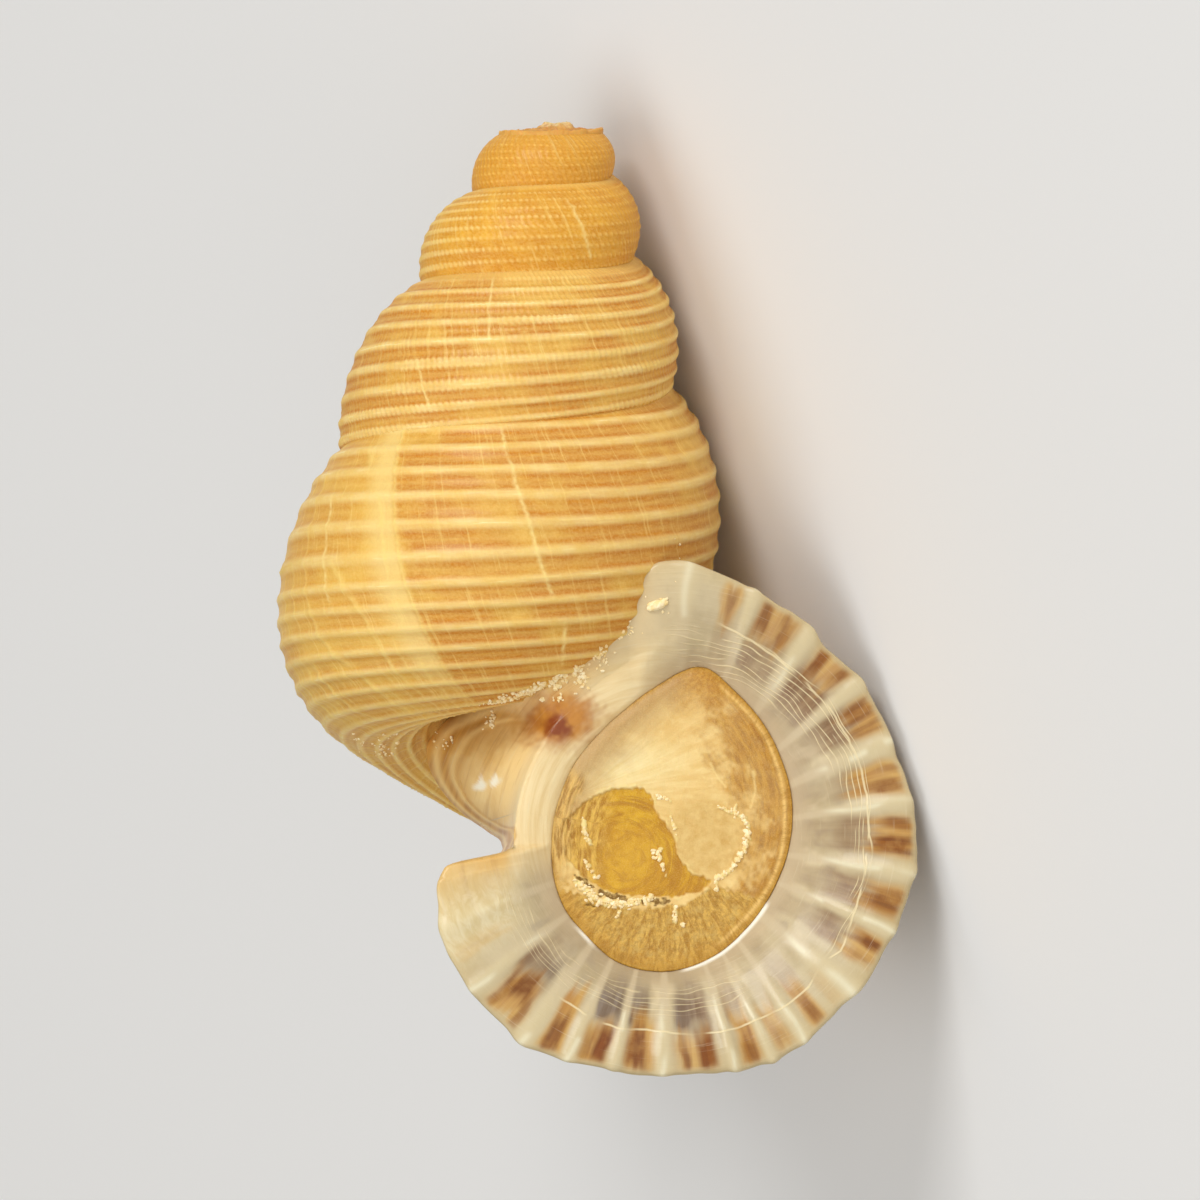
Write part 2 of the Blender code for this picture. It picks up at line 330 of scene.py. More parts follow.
def new_sheet(name, points, layers, material, cut=None):
    """A grid of quads laid on points (rows, columns, 3), in upright millimetres, cut off at a plane."""
    rows, columns = points.shape[0] - 1, points.shape[1] - 1
    mesh = bpy.data.meshes.new(name)
    bm = bmesh.new()
    bmesh.ops.create_grid(bm, x_segments=columns, y_segments=rows, size=0.5)
    bm.to_mesh(mesh)
    bm.free()
    flat = np.zeros(len(mesh.vertices) * 3, np.float32)
    mesh.vertices.foreach_get("co", flat)
    flat = flat.reshape(-1, 3)
    column = np.rint((flat[:, 0] + 0.5) * columns).astype(int)
    row = np.rint((flat[:, 1] + 0.5) * rows).astype(int)
    placed = points[row, column]
    mesh.vertices.foreach_set("co", placed.astype(np.float32).ravel())
    for layer, values in layers.items():
        store = mesh.attributes.new(layer, "FLOAT", "POINT")
        values = np.broadcast_to(values, points.shape[:2])
        store.data.foreach_set("value", values[row, column].astype(np.float32))
    bm = bmesh.new()
    bm.from_mesh(mesh)
    for face in bm.faces:
        face.smooth = True
    bmesh.ops.remove_doubles(bm, verts=bm.verts, dist=1e-4)
    if cut:
        whole = [*bm.verts, *bm.edges, *bm.faces]
        bmesh.ops.bisect_plane(bm, geom=whole, plane_co=cut[0], plane_no=cut[1], clear_outer=True)
    rims = [edge for edge in bm.edges if edge.is_boundary]
    bmesh.ops.holes_fill(bm, edges=rims, sides=0)
    for edge in rims:
        edge.smooth = False
    bmesh.ops.recalc_face_normals(bm, faces=bm.faces)
    bm.to_mesh(mesh)
    bm.free()
    flat = np.zeros(len(mesh.vertices) * 3, np.float32)
    mesh.vertices.foreach_get("co", flat)
    mesh.vertices.foreach_set("co", lay_down(flat.reshape(-1, 3)).astype(np.float32).ravel())
    mesh.update()
    obj = bpy.data.objects.new(name, mesh)
    bpy.context.scene.collection.objects.link(obj)
    mesh.materials.append(material)
    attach(obj, "root")
    print(name, len(mesh.polygons), "faces")
    return obj


# %% [markdown]
# ## Ribs, beads and growth lines
# Spiral cords run along the tube, evenly spaced round its section. On the middle whorls fine
# growth threads cross them, and each crossing is a bead. Sudden stops, when the snail rested,
# left steps across all the cords, and knocks left pale scars. All of it is real relief here, a
# height in millimetres added to the smooth wall along its normal.

# %% Cords, beads, rests and scars
CORD_PITCH = 9.7                # degrees round the section
CORD_START = -3.35
BEAD_SPACING = 0.17             # millimetres along the growth
GROWTH_SLANT = 0.0008           # turns that a growth line leans back for each degree
REST_STOP = -0.176              # turn at which the snail rested for long
LAST_CHECK = 0.35               # turn after which no checks show
CORD_HEIGHT = ((-4.0, 0.006), (-3.1, 0.010), (-2.8, 0.024), (-2.1, 0.032), (-1.8, 0.062), (-0.9, 0.075),
               (0.0, 0.090), (0.3, 0.085), (0.61, 0.07))
PIGMENT = (     # where the brown is strong: turn, and how much more of it
    (-4.0, 0.0), (-2.0, -0.10), (-1.5, 0.14), (-1.25, -0.04), (-1.05, 0.08), (-0.9, 0.10), (-0.5, 0.02),
    (-0.36, 0.05), (-0.28, 0.15), (-0.19, 0.20), (-0.17, -0.06), (-0.05, 0.03), (0.1, 0.06), (0.61, 0.12),
)
BEAD_SHARE = ((-4.0, 0.3), (-2.9, 0.9), (-2.1, 0.8), (-1.7, 0.26), (-1.0, 0.20), (-0.8, 0.08), (0.61, 0.06))
SCARS = (       # turn and degrees at its upper end, the same at its lower end, width and height in mm
    (-0.228, 58.0, -0.290, -14.0, 0.040, 0.035),
    (-1.187, 68.0, -1.212, 22.0, 0.035, 0.025),
    (-2.288, 48.0, -2.334, -16.0, 0.035, 0.030),
    (-0.300, -20.0, -0.312, -50.0, 0.035, 0.015),
    (-1.135, 20.0, -1.165, -8.0, 0.03, 0.015),
    (-0.085, 30.0, -0.110, -12.0, 0.035, 0.015),
)


def ridge(phase, width):
    """Height 1 on every whole number of the phase, falling off with the distance to it."""
    off = phase - np.rint(phase)
    return np.exp(-((off / width) ** 2))


def along_curve(turns, pairs):
    table = np.array(pairs)
    return np.interp(turns, table[:, 0], table[:, 1])


def scar_course(scar, degree):
    """The turn at which a scar stands at each degree of the section."""
    high_turn, high, low_turn, low = scar[:4]
    return low_turn + (high_turn - low_turn) * (degree - low) / (high - low)


highest_cord = max(height for _, height in CORD_HEIGHT)
print("about", round(360 / CORD_PITCH), "cords round the tube, up to", highest_cord, "mm high")


# %% Scars, growth checks and brown dashes
def scar_marks(turn, degree, radius):
    """Each scar's height in millimetres, and how much each point is on it."""
    for entry in SCARS:
        _, high, _, low, width, raised = entry
        waver = 0.10 * (patchy(degree / 6.0, 0.5, 6) - 0.5)
        off = (turn - scar_course(entry, degree)) * math.tau * radius - waver
        within = climb(degree, low, 6.0) * climb(high, degree, 6.0)
        yield raised, bump_at(off, 0.0, width) * within * (0.35 + 0.65 * patchy(degree / 4.5, 0.5, 14))


def growth_checks(turn, degree, growth, slanted, phase, late, hollow):
    """Broken pale lines across the cords after the long rest, and a closer net of them on the base."""
    check_phase = slanted / 1.05 + 1.6 * patchy(growth / 2.4, 0.5, 5)
    check_phase = check_phase + 0.1 * patchy(growth, degree / 6.0, 10)
    check = ridge(check_phase, 0.045) * late * (turn < LAST_CHECK) * (1 - hollow)
    check = check * smooth_step((patchy(growth / 0.8, phase / 1.3, 11) - 0.42 - 0.004 * degree) / 0.20)
    net = ridge(slanted / 0.40 + 0.6 * patchy(growth / 1.1, phase / 2.0, 15), 0.10) * late
    net = net * (turn < LAST_CHECK) * fall(degree, -18.0, 20.0)
    net = net * climb(degree, -100.0, 10.0)
    net = net * smooth_step((patchy(growth / 0.9, phase / 1.5, 16) - 0.30) / 0.25)
    return check, net


def brown_dashes(turn, degree, slanted, phase):
    """How brown each furrow is: broken dashes, stronger before the first scar and by the callus."""
    older = smooth_step((scar_course(SCARS[0], degree) - turn) / 0.006) * climb(turn, -0.52, 0.1)
    older = older * fall(degree, 40.0, 40.0)
    furrow = np.floor(phase)
    dash = 0.66 * patchy(slanted / 1.6, furrow * 1.37 + 0.5, 8)
    dash = dash + 0.20 * patchy(slanted / 0.45, furrow * 2.11 + 0.5, 9)
    dash = dash + 0.26 * patchy(slanted / 0.8, phase * 3.0, 12)
    dash = dash + 0.25 * patchy(slanted / 6.0, phase / 3.0, 13)
    by_callus = climb(turn, -0.46, 0.04) * fall(turn, -0.20, 0.05)
    by_callus = by_callus * fall(degree, -46.0, 10.0)
    dash = dash + along_curve(turn, PIGMENT) + 0.16 * older + 0.16 * by_callus
    return climb(dash, 0.50, 0.36)


# %% Relief of the whorls
def whorl_relief(turns, degrees):
    """Height and the painted layers on a (turns × degrees) grid."""
    turn = turns[:, None]
    degree = degrees[None, :]
    growth = grown(turns)[:, None]
    radius = tube_sizes(turns)[0][:, None]
    slanted = growth - GROWTH_SLANT * degree * math.tau * radius
    girth = np.radians(degree) * tube_sizes(turns)[2][:, None] * 1.25
    wander = 2.3 * (patchy(growth / 5.0, degree / 25.0, 1) - 0.5)
    young = 1.0 - climb(turn, -2.15, 0.30)
    phase = (degree + wander - CORD_START) / CORD_PITCH
    cord = ridge(phase, 0.26)
    between = ridge(phase + 0.5, 0.13) * (1 - young)
    under_suture = climb(degree, 58.0, 10.0) * (1.0 - climb(turn, 0.26, 0.10))
    hollow = fall(degree, -114.0, 16.0) * (1.0 - climb(turn, 0.24, 0.12))
    strength = (1 - 0.70 * under_suture) * (1 - hollow)
    uneven = 0.75 + 0.5 * patchy(growth / 1.7, np.rint(phase) * 0.73, 2)
    cord_height = along_curve(turn, CORD_HEIGHT) * strength * uneven
    bead_phase = slanted / BEAD_SPACING + 0.7 * patchy(growth / 0.9, degree / 12.0, 3)
    bead = 0.5 + 0.5 * np.cos(math.tau * bead_phase)
    share = along_curve(turn, BEAD_SHARE)
    beaded = patchy(growth / 3.0, np.rint(phase) * 0.91, 4)
    late = smooth_step((turn - REST_STOP - GROWTH_SLANT * degree) / 0.004)
    share = share + (turn > -1.75) * 0.22 * climb(beaded, 0.55, 0.2)
    thread = bead * (0.011 * (turn < -0.85) + 0.004) * (1 - hollow) * (1 - 0.5 * cord)
    height = cord_height * (cord * (1 - share + share * bead) - 0.58) + thread
    height += 0.016 * between * (turn > -1.0) * strength
    check, net = growth_checks(turn, degree, growth, slanted, phase, late, hollow)
    height += 0.020 * check * strength
    height += 0.012 * net * strength
    stop_off = (turn - REST_STOP - GROWTH_SLANT * degree) * math.tau * radius
    stop = bump_at(stop_off, 0.0, 0.05) * (np.abs(turn) < 0.6) * (degree < 60) * (degree > -75)
    height += 0.030 * stop
    scar = np.zeros_like(height)
    for raised, mark in scar_marks(turn, degree, radius):
        height += raised * mark
        scar = np.maximum(scar, mark)
    dash = brown_dashes(turn, degree, slanted, phase)
    return height, {
        "cord": cord * strength * (0.32 + 0.68 * climb(turn, -2.2, 0.2)),
        "dot": cord * bead * strength * (share > 0.3) * climb(turn, -3.9, 0.2),
        "between": between * strength,
        "dash": dash,
        "late": late,
        "fresh": late * fall(stop_off, 1.25, 0.80) * climb(degree, -62.0, 30.0),
        "net": net,
        "check": check,
        "stop": stop,
        "scar": scar,
        "hollow": hollow,
        "under_suture": under_suture,
        "turn": turn,
        "degree": degree,
        "growth": slanted,
        "girth": girth,
    }


# %% [markdown]
# ## Lime colours
# Shell lime is not painted: the colour is in the lime, so light goes a little way in and comes out
# warmer. The cords are cream, the furrows between them ochre with broken brown dashes, and the
# oldest whorls are plain orange. One material reads the stored numbers for all of it.

# %% Node helpers
def lime(red, green, blue):
    """An everyday 0-255 colour as the linear one that shaders use."""
    linear = [((c / 255 + 0.055) / 1.055) ** 2.4 if c > 10 else c / 3294 for c in (red, green, blue)]
    return (*linear, 1.0)


class Finish:
    """A material under construction, with short calls for the nodes used here."""

    def __init__(self, name):
        self.material = bpy.data.materials.new(name)
        self.material.use_nodes = True
        self.tree = self.material.node_tree
        self.shader = self.tree.nodes["Principled BSDF"]

    def node(self, kind, **inputs):
        node = self.tree.nodes.new(kind)
        for key, value in inputs.items():
            self.put(node, key.replace("_", " "), value)
        return node

    def put(self, node, key, value):
        socket = node.inputs[key]
        if isinstance(value, bpy.types.NodeSocket):
            self.tree.links.new(value, socket)
        else:
            socket.default_value = value

    def layer(self, name):
        node = self.tree.nodes.new("ShaderNodeAttribute")
        node.attribute_name = name
        return node.outputs["Fac"]

    def math(self, operation, first, second=0.0):
        node = self.tree.nodes.new("ShaderNodeMath")
        node.operation = operation
        self.put(node, 0, first)
        self.put(node, 1, second)
        return node.outputs[0]

    def times(self, first, second):
        return self.math("MULTIPLY", first, second)

    def window(self, value, low, high, to_low=0.0, to_high=1.0):
        """0 below low and 1 above high, smoothly."""
        node = self.tree.nodes.new("ShaderNodeMapRange")
        node.interpolation_type = "SMOOTHSTEP"
        for key, number in (("From Min", low), ("From Max", high), ("To Min", to_low), ("To Max", to_high)):
            node.inputs[key].default_value = number
        self.tree.links.new(value, node.inputs["Value"])
        return node.outputs["Result"]

    def mix(self, share, first, second):
        """Between two colours, each a socket or an everyday red, green and blue."""
        node = self.tree.nodes.new("ShaderNodeMix")
        node.data_type = "RGBA"
        for index, value in ((0, share), (6, first), (7, second)):
            self.put(node, index, lime(*value) if isinstance(value, tuple) else value)
        return node.outputs[2]

    def shade(self, value, low, high, first, second):
        """The first colour where the value is low, the second where it is high."""
        return self.mix(self.window(value, low, high), first, second)

    def dust(self, colour, value, low, high, most, paint):
        """At most that much of a second colour, where the value is high."""
        return self.mix(self.window(value, low, high, 0.0, most), colour, paint)

    def lay(self, colour, layer, share, paint):
        """That much of a second colour, where a stored layer is."""
        return self.mix(self.times(self.layer(layer), share), colour, paint)

    def noise(self, scale, detail=3.0, roughness=0.5, place=None, distortion=0.0):
        node = self.node("ShaderNodeTexNoise", Scale=scale, Detail=detail, Roughness=roughness)
        self.put(node, "Distortion", distortion)
        if place is None:
            place = self.tree.nodes.new("ShaderNodeTexCoord").outputs["Object"]
        self.tree.links.new(place, node.inputs["Vector"])
        return node.outputs["Fac"]

    def place(self, first, second, first_scale=1.0, second_scale=1.0):
        node = self.tree.nodes.new("ShaderNodeCombineXYZ")
        self.put(node, "X", self.times(first, first_scale))
        self.put(node, "Y", self.times(second, second_scale))
        return node.outputs["Vector"]

    def finish(self, colour, roughness, height=None, strength=0.3, deep=0.0002, **constants):
        self.tree.links.new(colour, self.shader.inputs["Base Color"])
        self.put(self.shader, "Roughness", roughness)
        for key, value in constants.items():
            self.shader.inputs[key.replace("_", " ")].default_value = value
        if height is not None:
            bump = self.node("ShaderNodeBump", Strength=strength, Distance=deep, Height=height)
            self.tree.links.new(bump.outputs["Normal"], self.shader.inputs["Normal"])
        return self.material


# %% Lime of the whorls
GROWTH_PAINTS = (       # layer, how much of it shows, everyday colour
    ("fresh", 0.60, (242, 212, 134)), ("check", 0.45, (245, 215, 125)),
    ("net", 0.40, (242, 210, 124)), ("stop", 0.55, (245, 217, 128)),
)


def whorl_lime():
    f = Finish("shell_lime")
    cord = f.layer("cord")
    turn = f.layer("turn")
    skin = f.place(f.layer("growth"), f.layer("girth"))
    streak, fine, axial = (
        f.noise(1.0, 3.0, 0.6, f.place(f.layer("growth"), f.layer("girth"), *scales))
        for scales in ((0.7, 7.0), (3.0, 18.0), (9.0, 0.5))
    )
    mottle = f.noise(1.6, 4.0, 0.65, skin)
    grain = f.noise(14.0, 3.0, 0.6, skin)

    old = f.window(turn, -2.15, -1.75)
    ground = f.mix(old, (210, 142, 30), (208, 148, 48))
    ground = f.mix(f.window(mottle, 0.35, 0.70), ground, f.mix(old, (228, 168, 54), (226, 176, 80)))
    pale = f.window(f.times(f.layer("late"), f.window(turn, 0.5, 0.35)), 0.0, 1.0)
    ground = f.mix(f.times(pale, 0.50), ground, (231, 181, 78))
    brown = f.times(f.layer("dash"), f.window(turn, -2.0, -1.7, 0.15, 1.0))
    brown = f.times(brown, f.math("SUBTRACT", 1.0, f.times(pale, 0.45)))
    brown = f.times(brown, f.window(streak, 0.25, 0.6, 0.35, 1.0))
    colour = f.mix(f.times(brown, 0.95), ground, f.shade(streak, 0.4, 0.7, (186, 100, 0), (204, 128, 6)))
    colour = f.dust(colour, fine, 0.50, 0.70, 0.22, (236, 190, 96))
    colour = f.lay(colour, "between", 0.35, (236, 196, 104))
    cream = f.shade(mottle, 0.3, 0.7, (243, 213, 140), (236, 197, 108))
    young_cream = f.mix(f.window(turn, -2.6, -1.9), (236, 186, 84), cream)
    on_cord = f.window(f.math("ADD", cord, f.times(f.layer("dot"), 0.6)), 0.25, 1.0)
    on_cord = f.times(on_cord, f.window(streak, 0.25, 0.60, 0.65, 1.0))
    colour = f.mix(f.times(on_cord, 0.90), colour, young_cream)
    colour = f.lay(colour, "under_suture", 0.6, (241, 203, 116))
    worn = f.times(f.window(turn, -2.2, -2.6), f.window(mottle, 0.42, 0.60, 0.0, 0.55))
    colour = f.mix(f.times(worn, f.window(axial, 0.35, 0.6, 0.3, 1.0)), colour, (196, 124, 26))
    colour = f.dust(colour, axial, 0.54, 0.70, 0.34, (246, 217, 130))
    for layer, share, paint in GROWTH_PAINTS:
        colour = f.lay(colour, layer, share, paint)
    base = f.window(f.layer("degree"), -62.0, -92.0)
    colour = f.mix(f.times(base, f.window(cord, 0.75, 0.15, 0.0, 0.18)), colour, (186, 118, 36))
    # Painted highlight: near-white streaks along the tops of the cords, where the streak noise is high.
    painted_highlight = f.times(f.window(cord, 0.90, 1.0), f.window(streak, 0.55, 0.66))
    colour = f.mix(f.times(painted_highlight, 0.6), colour, (252, 236, 176))
    colour = f.mix(f.layer("hollow"), colour, f.shade(mottle, 0.3, 0.7, (221, 177, 97), (205, 158, 81)))
    colour = f.lay(colour, "scar", 0.85, (250, 229, 152))
    colour = f.dust(colour, grain, 0.35, 0.65, 0.14, (250, 224, 143))
    rough = f.window(grain, 0.3, 0.7, 0.36, 0.52)
    rough = f.math("SUBTRACT", rough, f.times(f.layer("hollow"), 0.12))
    height = f.math("ADD", f.times(fine, 0.6), f.times(axial, 0.5))
    return f.finish(
        colour, rough, height, 0.35, 0.00006,
        Subsurface_Weight=0.15, Subsurface_Radius=(1.0, 0.6, 0.3), Subsurface_Scale=0.0002,
        Coat_Weight=0.10, Coat_Roughness=0.16, Specular_IOR_Level=0.20,
    )


shell_lime = whorl_lime()
print(shell_lime.name, "has", len(shell_lime.node_tree.nodes), "nodes")


# %% [markdown]
# ## The whorls
# Four lengths of tube, each a sheet of its own so that none gets too heavy. The points are close
# together where the wall shows and few where it is buried in the whorl before. Each length starts
# with a narrower ring hidden inside the one before it, so no joint shows. The last stretch has left
# the axis, so it shows nearly all round, and it is cut off flat just behind the lip.

# %% Four lengths of tube
SHOW_TOP = 86.0
BREAK = ((0.0, 0.0, 10.85), (-0.122, 0.0, 0.993))     # a point of the broken tip's plane and its normal
MOUTH_BACK = (tuple(MOUTH_CENTRE - 0.85 * OUT), tuple(OUT))
LENGTHS = (     # name, first and last turn, rows, columns that show, the degrees they show between, cut
    ("early_whorls", -4.00, -1.75, 640, 100, -38.0, SHOW_TOP, BREAK),
    ("third_whorl", -1.75, -0.75, 540, 128, -42.0, SHOW_TOP, None),
    ("body_whorl", -0.75, 0.30, 440, 196, -176.0, SHOW_TOP, None),
    ("last_stretch", 0.30, 0.61, 200, 262, -176.0, 172.0, MOUTH_BACK),
)
OVERLAP_ROWS = 1.5      # how far a length reaches back into the one before it
TUCKED_COLUMNS = 14
TUCK = 0.80


def section_degrees(lowest, highest, columns):
    """Degrees round the section, from the tube's inner side and round to it again."""
    shown = np.linspace(lowest, highest, columns)
    hidden = np.linspace(highest, lowest + 360.0, TUCKED_COLUMNS + 1)[1:]
    return np.concatenate((shown, hidden))


def wrap_length(name, first, last, rows, columns, lowest, highest, cut):
    degrees = section_degrees(lowest, highest, columns)
    first = first - OVERLAP_ROWS * (last - first) / rows
    turns = np.linspace(first, last, rows + 1)
    wall = tube_wall(turns, np.radians(degrees))
    normal = normals_of(wall)
    centre = wall.mean(axis=1, keepdims=True)
    facing = np.sign(((wall - centre) * normal).sum(axis=2).mean())
    height, layers = whorl_relief(turns, degrees)
    shown = (degrees <= highest) * climb(highest, degrees, 6.0)
    points = wall + facing * normal * (height * shown[None, :])[..., None]
    points[:, -1] = points[:, 0]
    points[0] = centre[0] + (points[0] - centre[0]) * TUCK
    sheet = new_sheet(name, points, layers, shell_lime, cut=cut)
    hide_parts("shell")
    return sheet


whorls = [wrap_length(*length) for length in LENGTHS]


# %% [markdown]
# ## The trumpet lip
# When the snail is full grown it stops winding and turns the edge of the tube outward into a
# trumpet. The lip is a section carried round the mouth: from a collar inside the tube up the back,
# round the thin edge, down the ribbed front and a short way into the throat. White ribs run out to
# the edge like spokes, brown rays fill the furrows between them near the edge, and fine growth
# lines ring the mouth. On the body whorl's side it is a callus instead: a smooth band beside the
# mouth and a sagging sheet that reaches to the whorl. Each mark is told by its angle and its place.

# %% The lip's outline
MOUTH_OUTLINE = np.array((      # angle, distance of the mouth's edge from its centre
    (-176, 2.86), (-161, 2.95), (-147, 3.11), (-134, 3.24), (-123, 3.28), (-115, 3.38), (-107, 3.50),
    (-96, 3.53), (-84, 3.51), (-72, 3.40), (-61, 3.28), (-47, 3.11), (-33, 3.01), (-17, 2.97), (0, 3.02),
    (12, 3.09), (25, 3.20), (38, 3.31), (52, 3.52), (64, 3.72), (73, 3.90), (80, 4.13), (85, 4.22),
    (90, 4.05), (100, 3.63), (114, 3.23), (129, 2.98), (143, 2.88), (157, 2.83), (170, 2.81),
))
LIP_OUTLINE = np.array((        # angle, distance of the lip's edge from the mouth's centre
    (-168, 5.30), (-164, 5.60), (-160, 5.88), (-152, 6.18), (-144, 6.36), (-132, 6.42), (-124, 6.44),
    (-118, 6.56), (-112, 6.46), (-104, 6.34), (-97, 6.21), (-92, 6.30), (-84, 6.20), (-76, 6.23),
    (-68, 6.35), (-60, 6.43), (-52, 6.36), (-44, 6.26), (-40, 6.17), (-33, 6.28), (-24, 6.18),
    (-12, 6.20), (-4, 6.22), (4, 6.18), (13, 6.04), (19, 6.02), (24, 5.90), (32, 5.99), (38, 5.96),
    (44, 6.02), (50, 5.96), (56, 5.94), (62, 6.14), (69, 6.17), (76, 6.26), (84, 6.44), (91, 6.58),
    (97, 6.64), (104, 6.45), (112, 6.30),
))
LIP_RISE = 1.15
CALLUS_FROM = 98.0
CALLUS_TO = 192.0
CALLUS_EDGE = np.array((        # angle, distance from the mouth's centre, how far out or back it lies
    (98.0, 6.35, 1.02), (104.5, 5.45, 0.80), (112.0, 4.95, 0.66), (120.0, 4.70, 0.58),
    (132.0, 4.66, 0.40), (139.0, 4.80, 0.15), (145.0, 5.20, -0.90), (149.0, 5.75, -2.40),
    (153.5, 6.25, -3.50), (158.0, 6.52, -3.95), (162.5, 6.60, -4.15), (166.0, 6.42, -4.20),
    (169.5, 6.10, -4.10), (173.5, 5.60, -3.95), (177.0, 5.15, -3.80), (179.5, 4.82, -3.60),
    (182.5, 4.40, -3.30), (185.0, 4.16, -3.00), (188.0, 4.10, -2.60), (196.0, 4.30, -0.90),
))
FOLD_PITCH = (      # angle, mm apart
    (140, 0.6), (162.5, 0.6), (169, 0.34), (173.5, 0.25), (184, 0.17), (196, 0.15),
)
BAND_WIDTH = 0.95       # the columella's band beside the mouth
BAND_RISE = 0.26
CALLUS_SAG = 0.90
# Painted highlights: near-white spots in the callus hollow, across and up from the mouth's centre, and
# their size.
PAINTED_HIGHLIGHTS = ((-4.79, 0.83, 0.20), (-4.42, 0.88, 0.22))     # bright spots in the callus hollow, and their size
STAIN_PLACE = (-3.07, 2.25)     # the rusty stain and its halo, across and up from the mouth's centre
HALO_PLACE = (-3.02, 2.46)
CALLUS_DEPTH = 3.2      # how thick the callus is where it fills the hollow under the whorl
CALLUS_ROOT = (2.3, -2.3)       # where it ends in the tube: distance from the mouth's centre, how far out


# %% Ribs, rays and gaps of the lip
RIBS = (        # angle, half width in degrees
    (92, 3.0), (76, 1.9), (60, 2.5), (43, 2.3), (27, 3.0), (12, 2.3), (-5.3, 2.5), (-19.5, 2.0),
    (-36.5, 3.6), (-51.7, 2.0), (-60, 1.4), (-68.7, 1.5), (-85.4, 2.3), (-96.6, 1.6), (-107.2, 2.1),
    (-117.5, 2.6), (-133.6, 2.3), (-149, 2.6), (-160, 2.6),
)
RAYS = (        # golden rays: angle, half width in degrees, where they start and end in mm, strength
    (-142.3, 2.6, 4.7, 6.2, 0.50), (-125.5, 5.2, 4.9, 6.25, 0.85), (-112.2, 2.8, 4.4, 6.4, 0.95),
    (-102, 3.8, 5.1, 6.25, 0.90), (-91.2, 3.8, 4.6, 6.2, 0.90), (-77, 5.6, 5.1, 6.2, 0.75),
    (-63.8, 2.8, 4.8, 6.3, 0.85), (-55.8, 2.6, 4.9, 6.25, 0.65), (-46.3, 2.6, 4.8, 6.2, 0.80),
    (-39.5, 1.8, 5.0, 6.1, 0.25), (-26, 4.6, 5.1, 6.1, 0.80), (-12.5, 4.6, 5.0, 6.1, 0.85),
    (3.8, 5.6, 5.0, 6.1, 0.90), (19, 4.6, 4.5, 5.95, 0.85), (35.3, 5.2, 4.95, 5.9, 0.85),
    (51.2, 5.4, 5.0, 5.9, 0.75), (68.3, 5.6, 5.0, 6.05, 0.75), (81, 2.6, 5.1, 6.25, 0.70),
)
STRIPES = (     # brown stripes in the rays, told the same way
    (-129, 1.4, 5.0, 6.2, 0.7), (-125.5, 3.6, 4.95, 5.7, 0.9), (-122, 1.2, 5.2, 6.4, 0.6),
    (-112.3, 1.9, 5.2, 6.4, 0.8), (-104, 1.3, 5.4, 6.2, 0.5), (-100.5, 1.9, 5.1, 6.15, 1.0),
    (-92, 2.6, 5.0, 6.1, 0.9), (-80, 1.2, 5.3, 6.2, 0.75), (-74, 2.4, 5.2, 6.2, 1.0),
    (-63.8, 1.8, 5.1, 6.2, 0.8), (-56, 1.3, 5.4, 6.0, 0.35), (-46.2, 1.6, 5.2, 6.1, 0.75),
    (-28.6, 1.0, 5.4, 6.1, 0.4), (-24.3, 1.9, 5.2, 6.1, 0.95), (-12.8, 3.4, 5.1, 6.1, 0.85),
    (1.5, 2.5, 5.05, 6.05, 1.0), (7, 1.8, 5.1, 6.0, 0.8), (17, 1.8, 5.0, 5.9, 0.9),
    (21, 1.2, 5.2, 5.9, 0.4), (33, 1.8, 5.0, 5.85, 0.7), (37.6, 2.2, 5.0, 5.85, 0.85),
    (48, 1.6, 5.1, 5.9, 0.9), (54.4, 1.7, 5.05, 5.9, 0.95), (66, 2.0, 5.1, 6.0, 0.7),
    (72, 1.8, 5.1, 6.05, 0.8), (81, 1.3, 5.4, 6.1, 0.5),
)
GAPS = (        # where grey and violet show through nearer the mouth: angle, half width, strength
    (-126, 6.5, 0.75), (-112, 3.0, 0.15), (-102, 4.2, 0.95), (-93.5, 3.8, 0.85), (-77, 5.6, 0.95),
    (-64.5, 2.8, 0.6), (-46, 3.0, 0.3), (-26, 4.6, 0.65), (-12.8, 5.0, 0.7), (4, 6.2, 0.75),
    (19, 4.6, 0.45), (36.5, 5.8, 0.7), (51, 7.0, 0.9), (68.5, 6.4, 0.65), (81, 3.0, 0.3),
)
CRACK_LINE = np.array((         # a long healed line round the lip: angle, distance from the mouth's centre
    (-116, 5.05), (-104, 5.15), (-98, 5.19), (-90, 5.10), (-80, 5.18), (-70, 5.28), (-50, 5.32),
    (-43, 5.28), (-36, 5.08), (-30, 5.28), (-24, 5.12), (-12, 5.00), (0, 4.95), (28, 4.97), (56, 4.93),
    (66, 5.00), (82, 5.20),
))


print(len(RIBS), "ribs,", len(RAYS), "rays,", len(STRIPES), "stripes and", len(GAPS), "grey gaps")


# %% Outlines read at any angle
def wrap_degrees(degrees):
    return (degrees + 180.0) % 360.0 - 180.0


def mouth_radius(degrees):
    """The mouth's outline: an egg drawn out to a blunt corner at its top."""
    steps = [degrees + shift for shift in (-3.0, -1.0, 1.0, 3.0)]
    angles, reach = MOUTH_OUTLINE.T
    return sum(np.interp(wrap_degrees(step), angles, reach, period=360.0) for step in steps) / len(steps)


def fused_share(degrees):
    """1 where the lip lies on the body whorl, 0 where it stands free."""
    turned = degrees % 360.0
    return climb(turned, CALLUS_FROM, 12.0) * (1.0 - climb(turned, CALLUS_TO, 5.0))


def callus_edge(degrees):
    """Where the callus ends on the whorls: its distance from the mouth's centre, and how far out."""
    steps = [(degrees % 360.0) + shift for shift in (-1.5, -0.5, 0.5, 1.5)]
    reach, out = (
        sum(np.interp(step, CALLUS_EDGE[:, 0], CALLUS_EDGE[:, column]) for step in steps) / len(steps)
        for column in (1, 2)
    )
    return reach + 0.07 * (patchy(degrees / 2.2, 0.5, 22) - 0.5), out


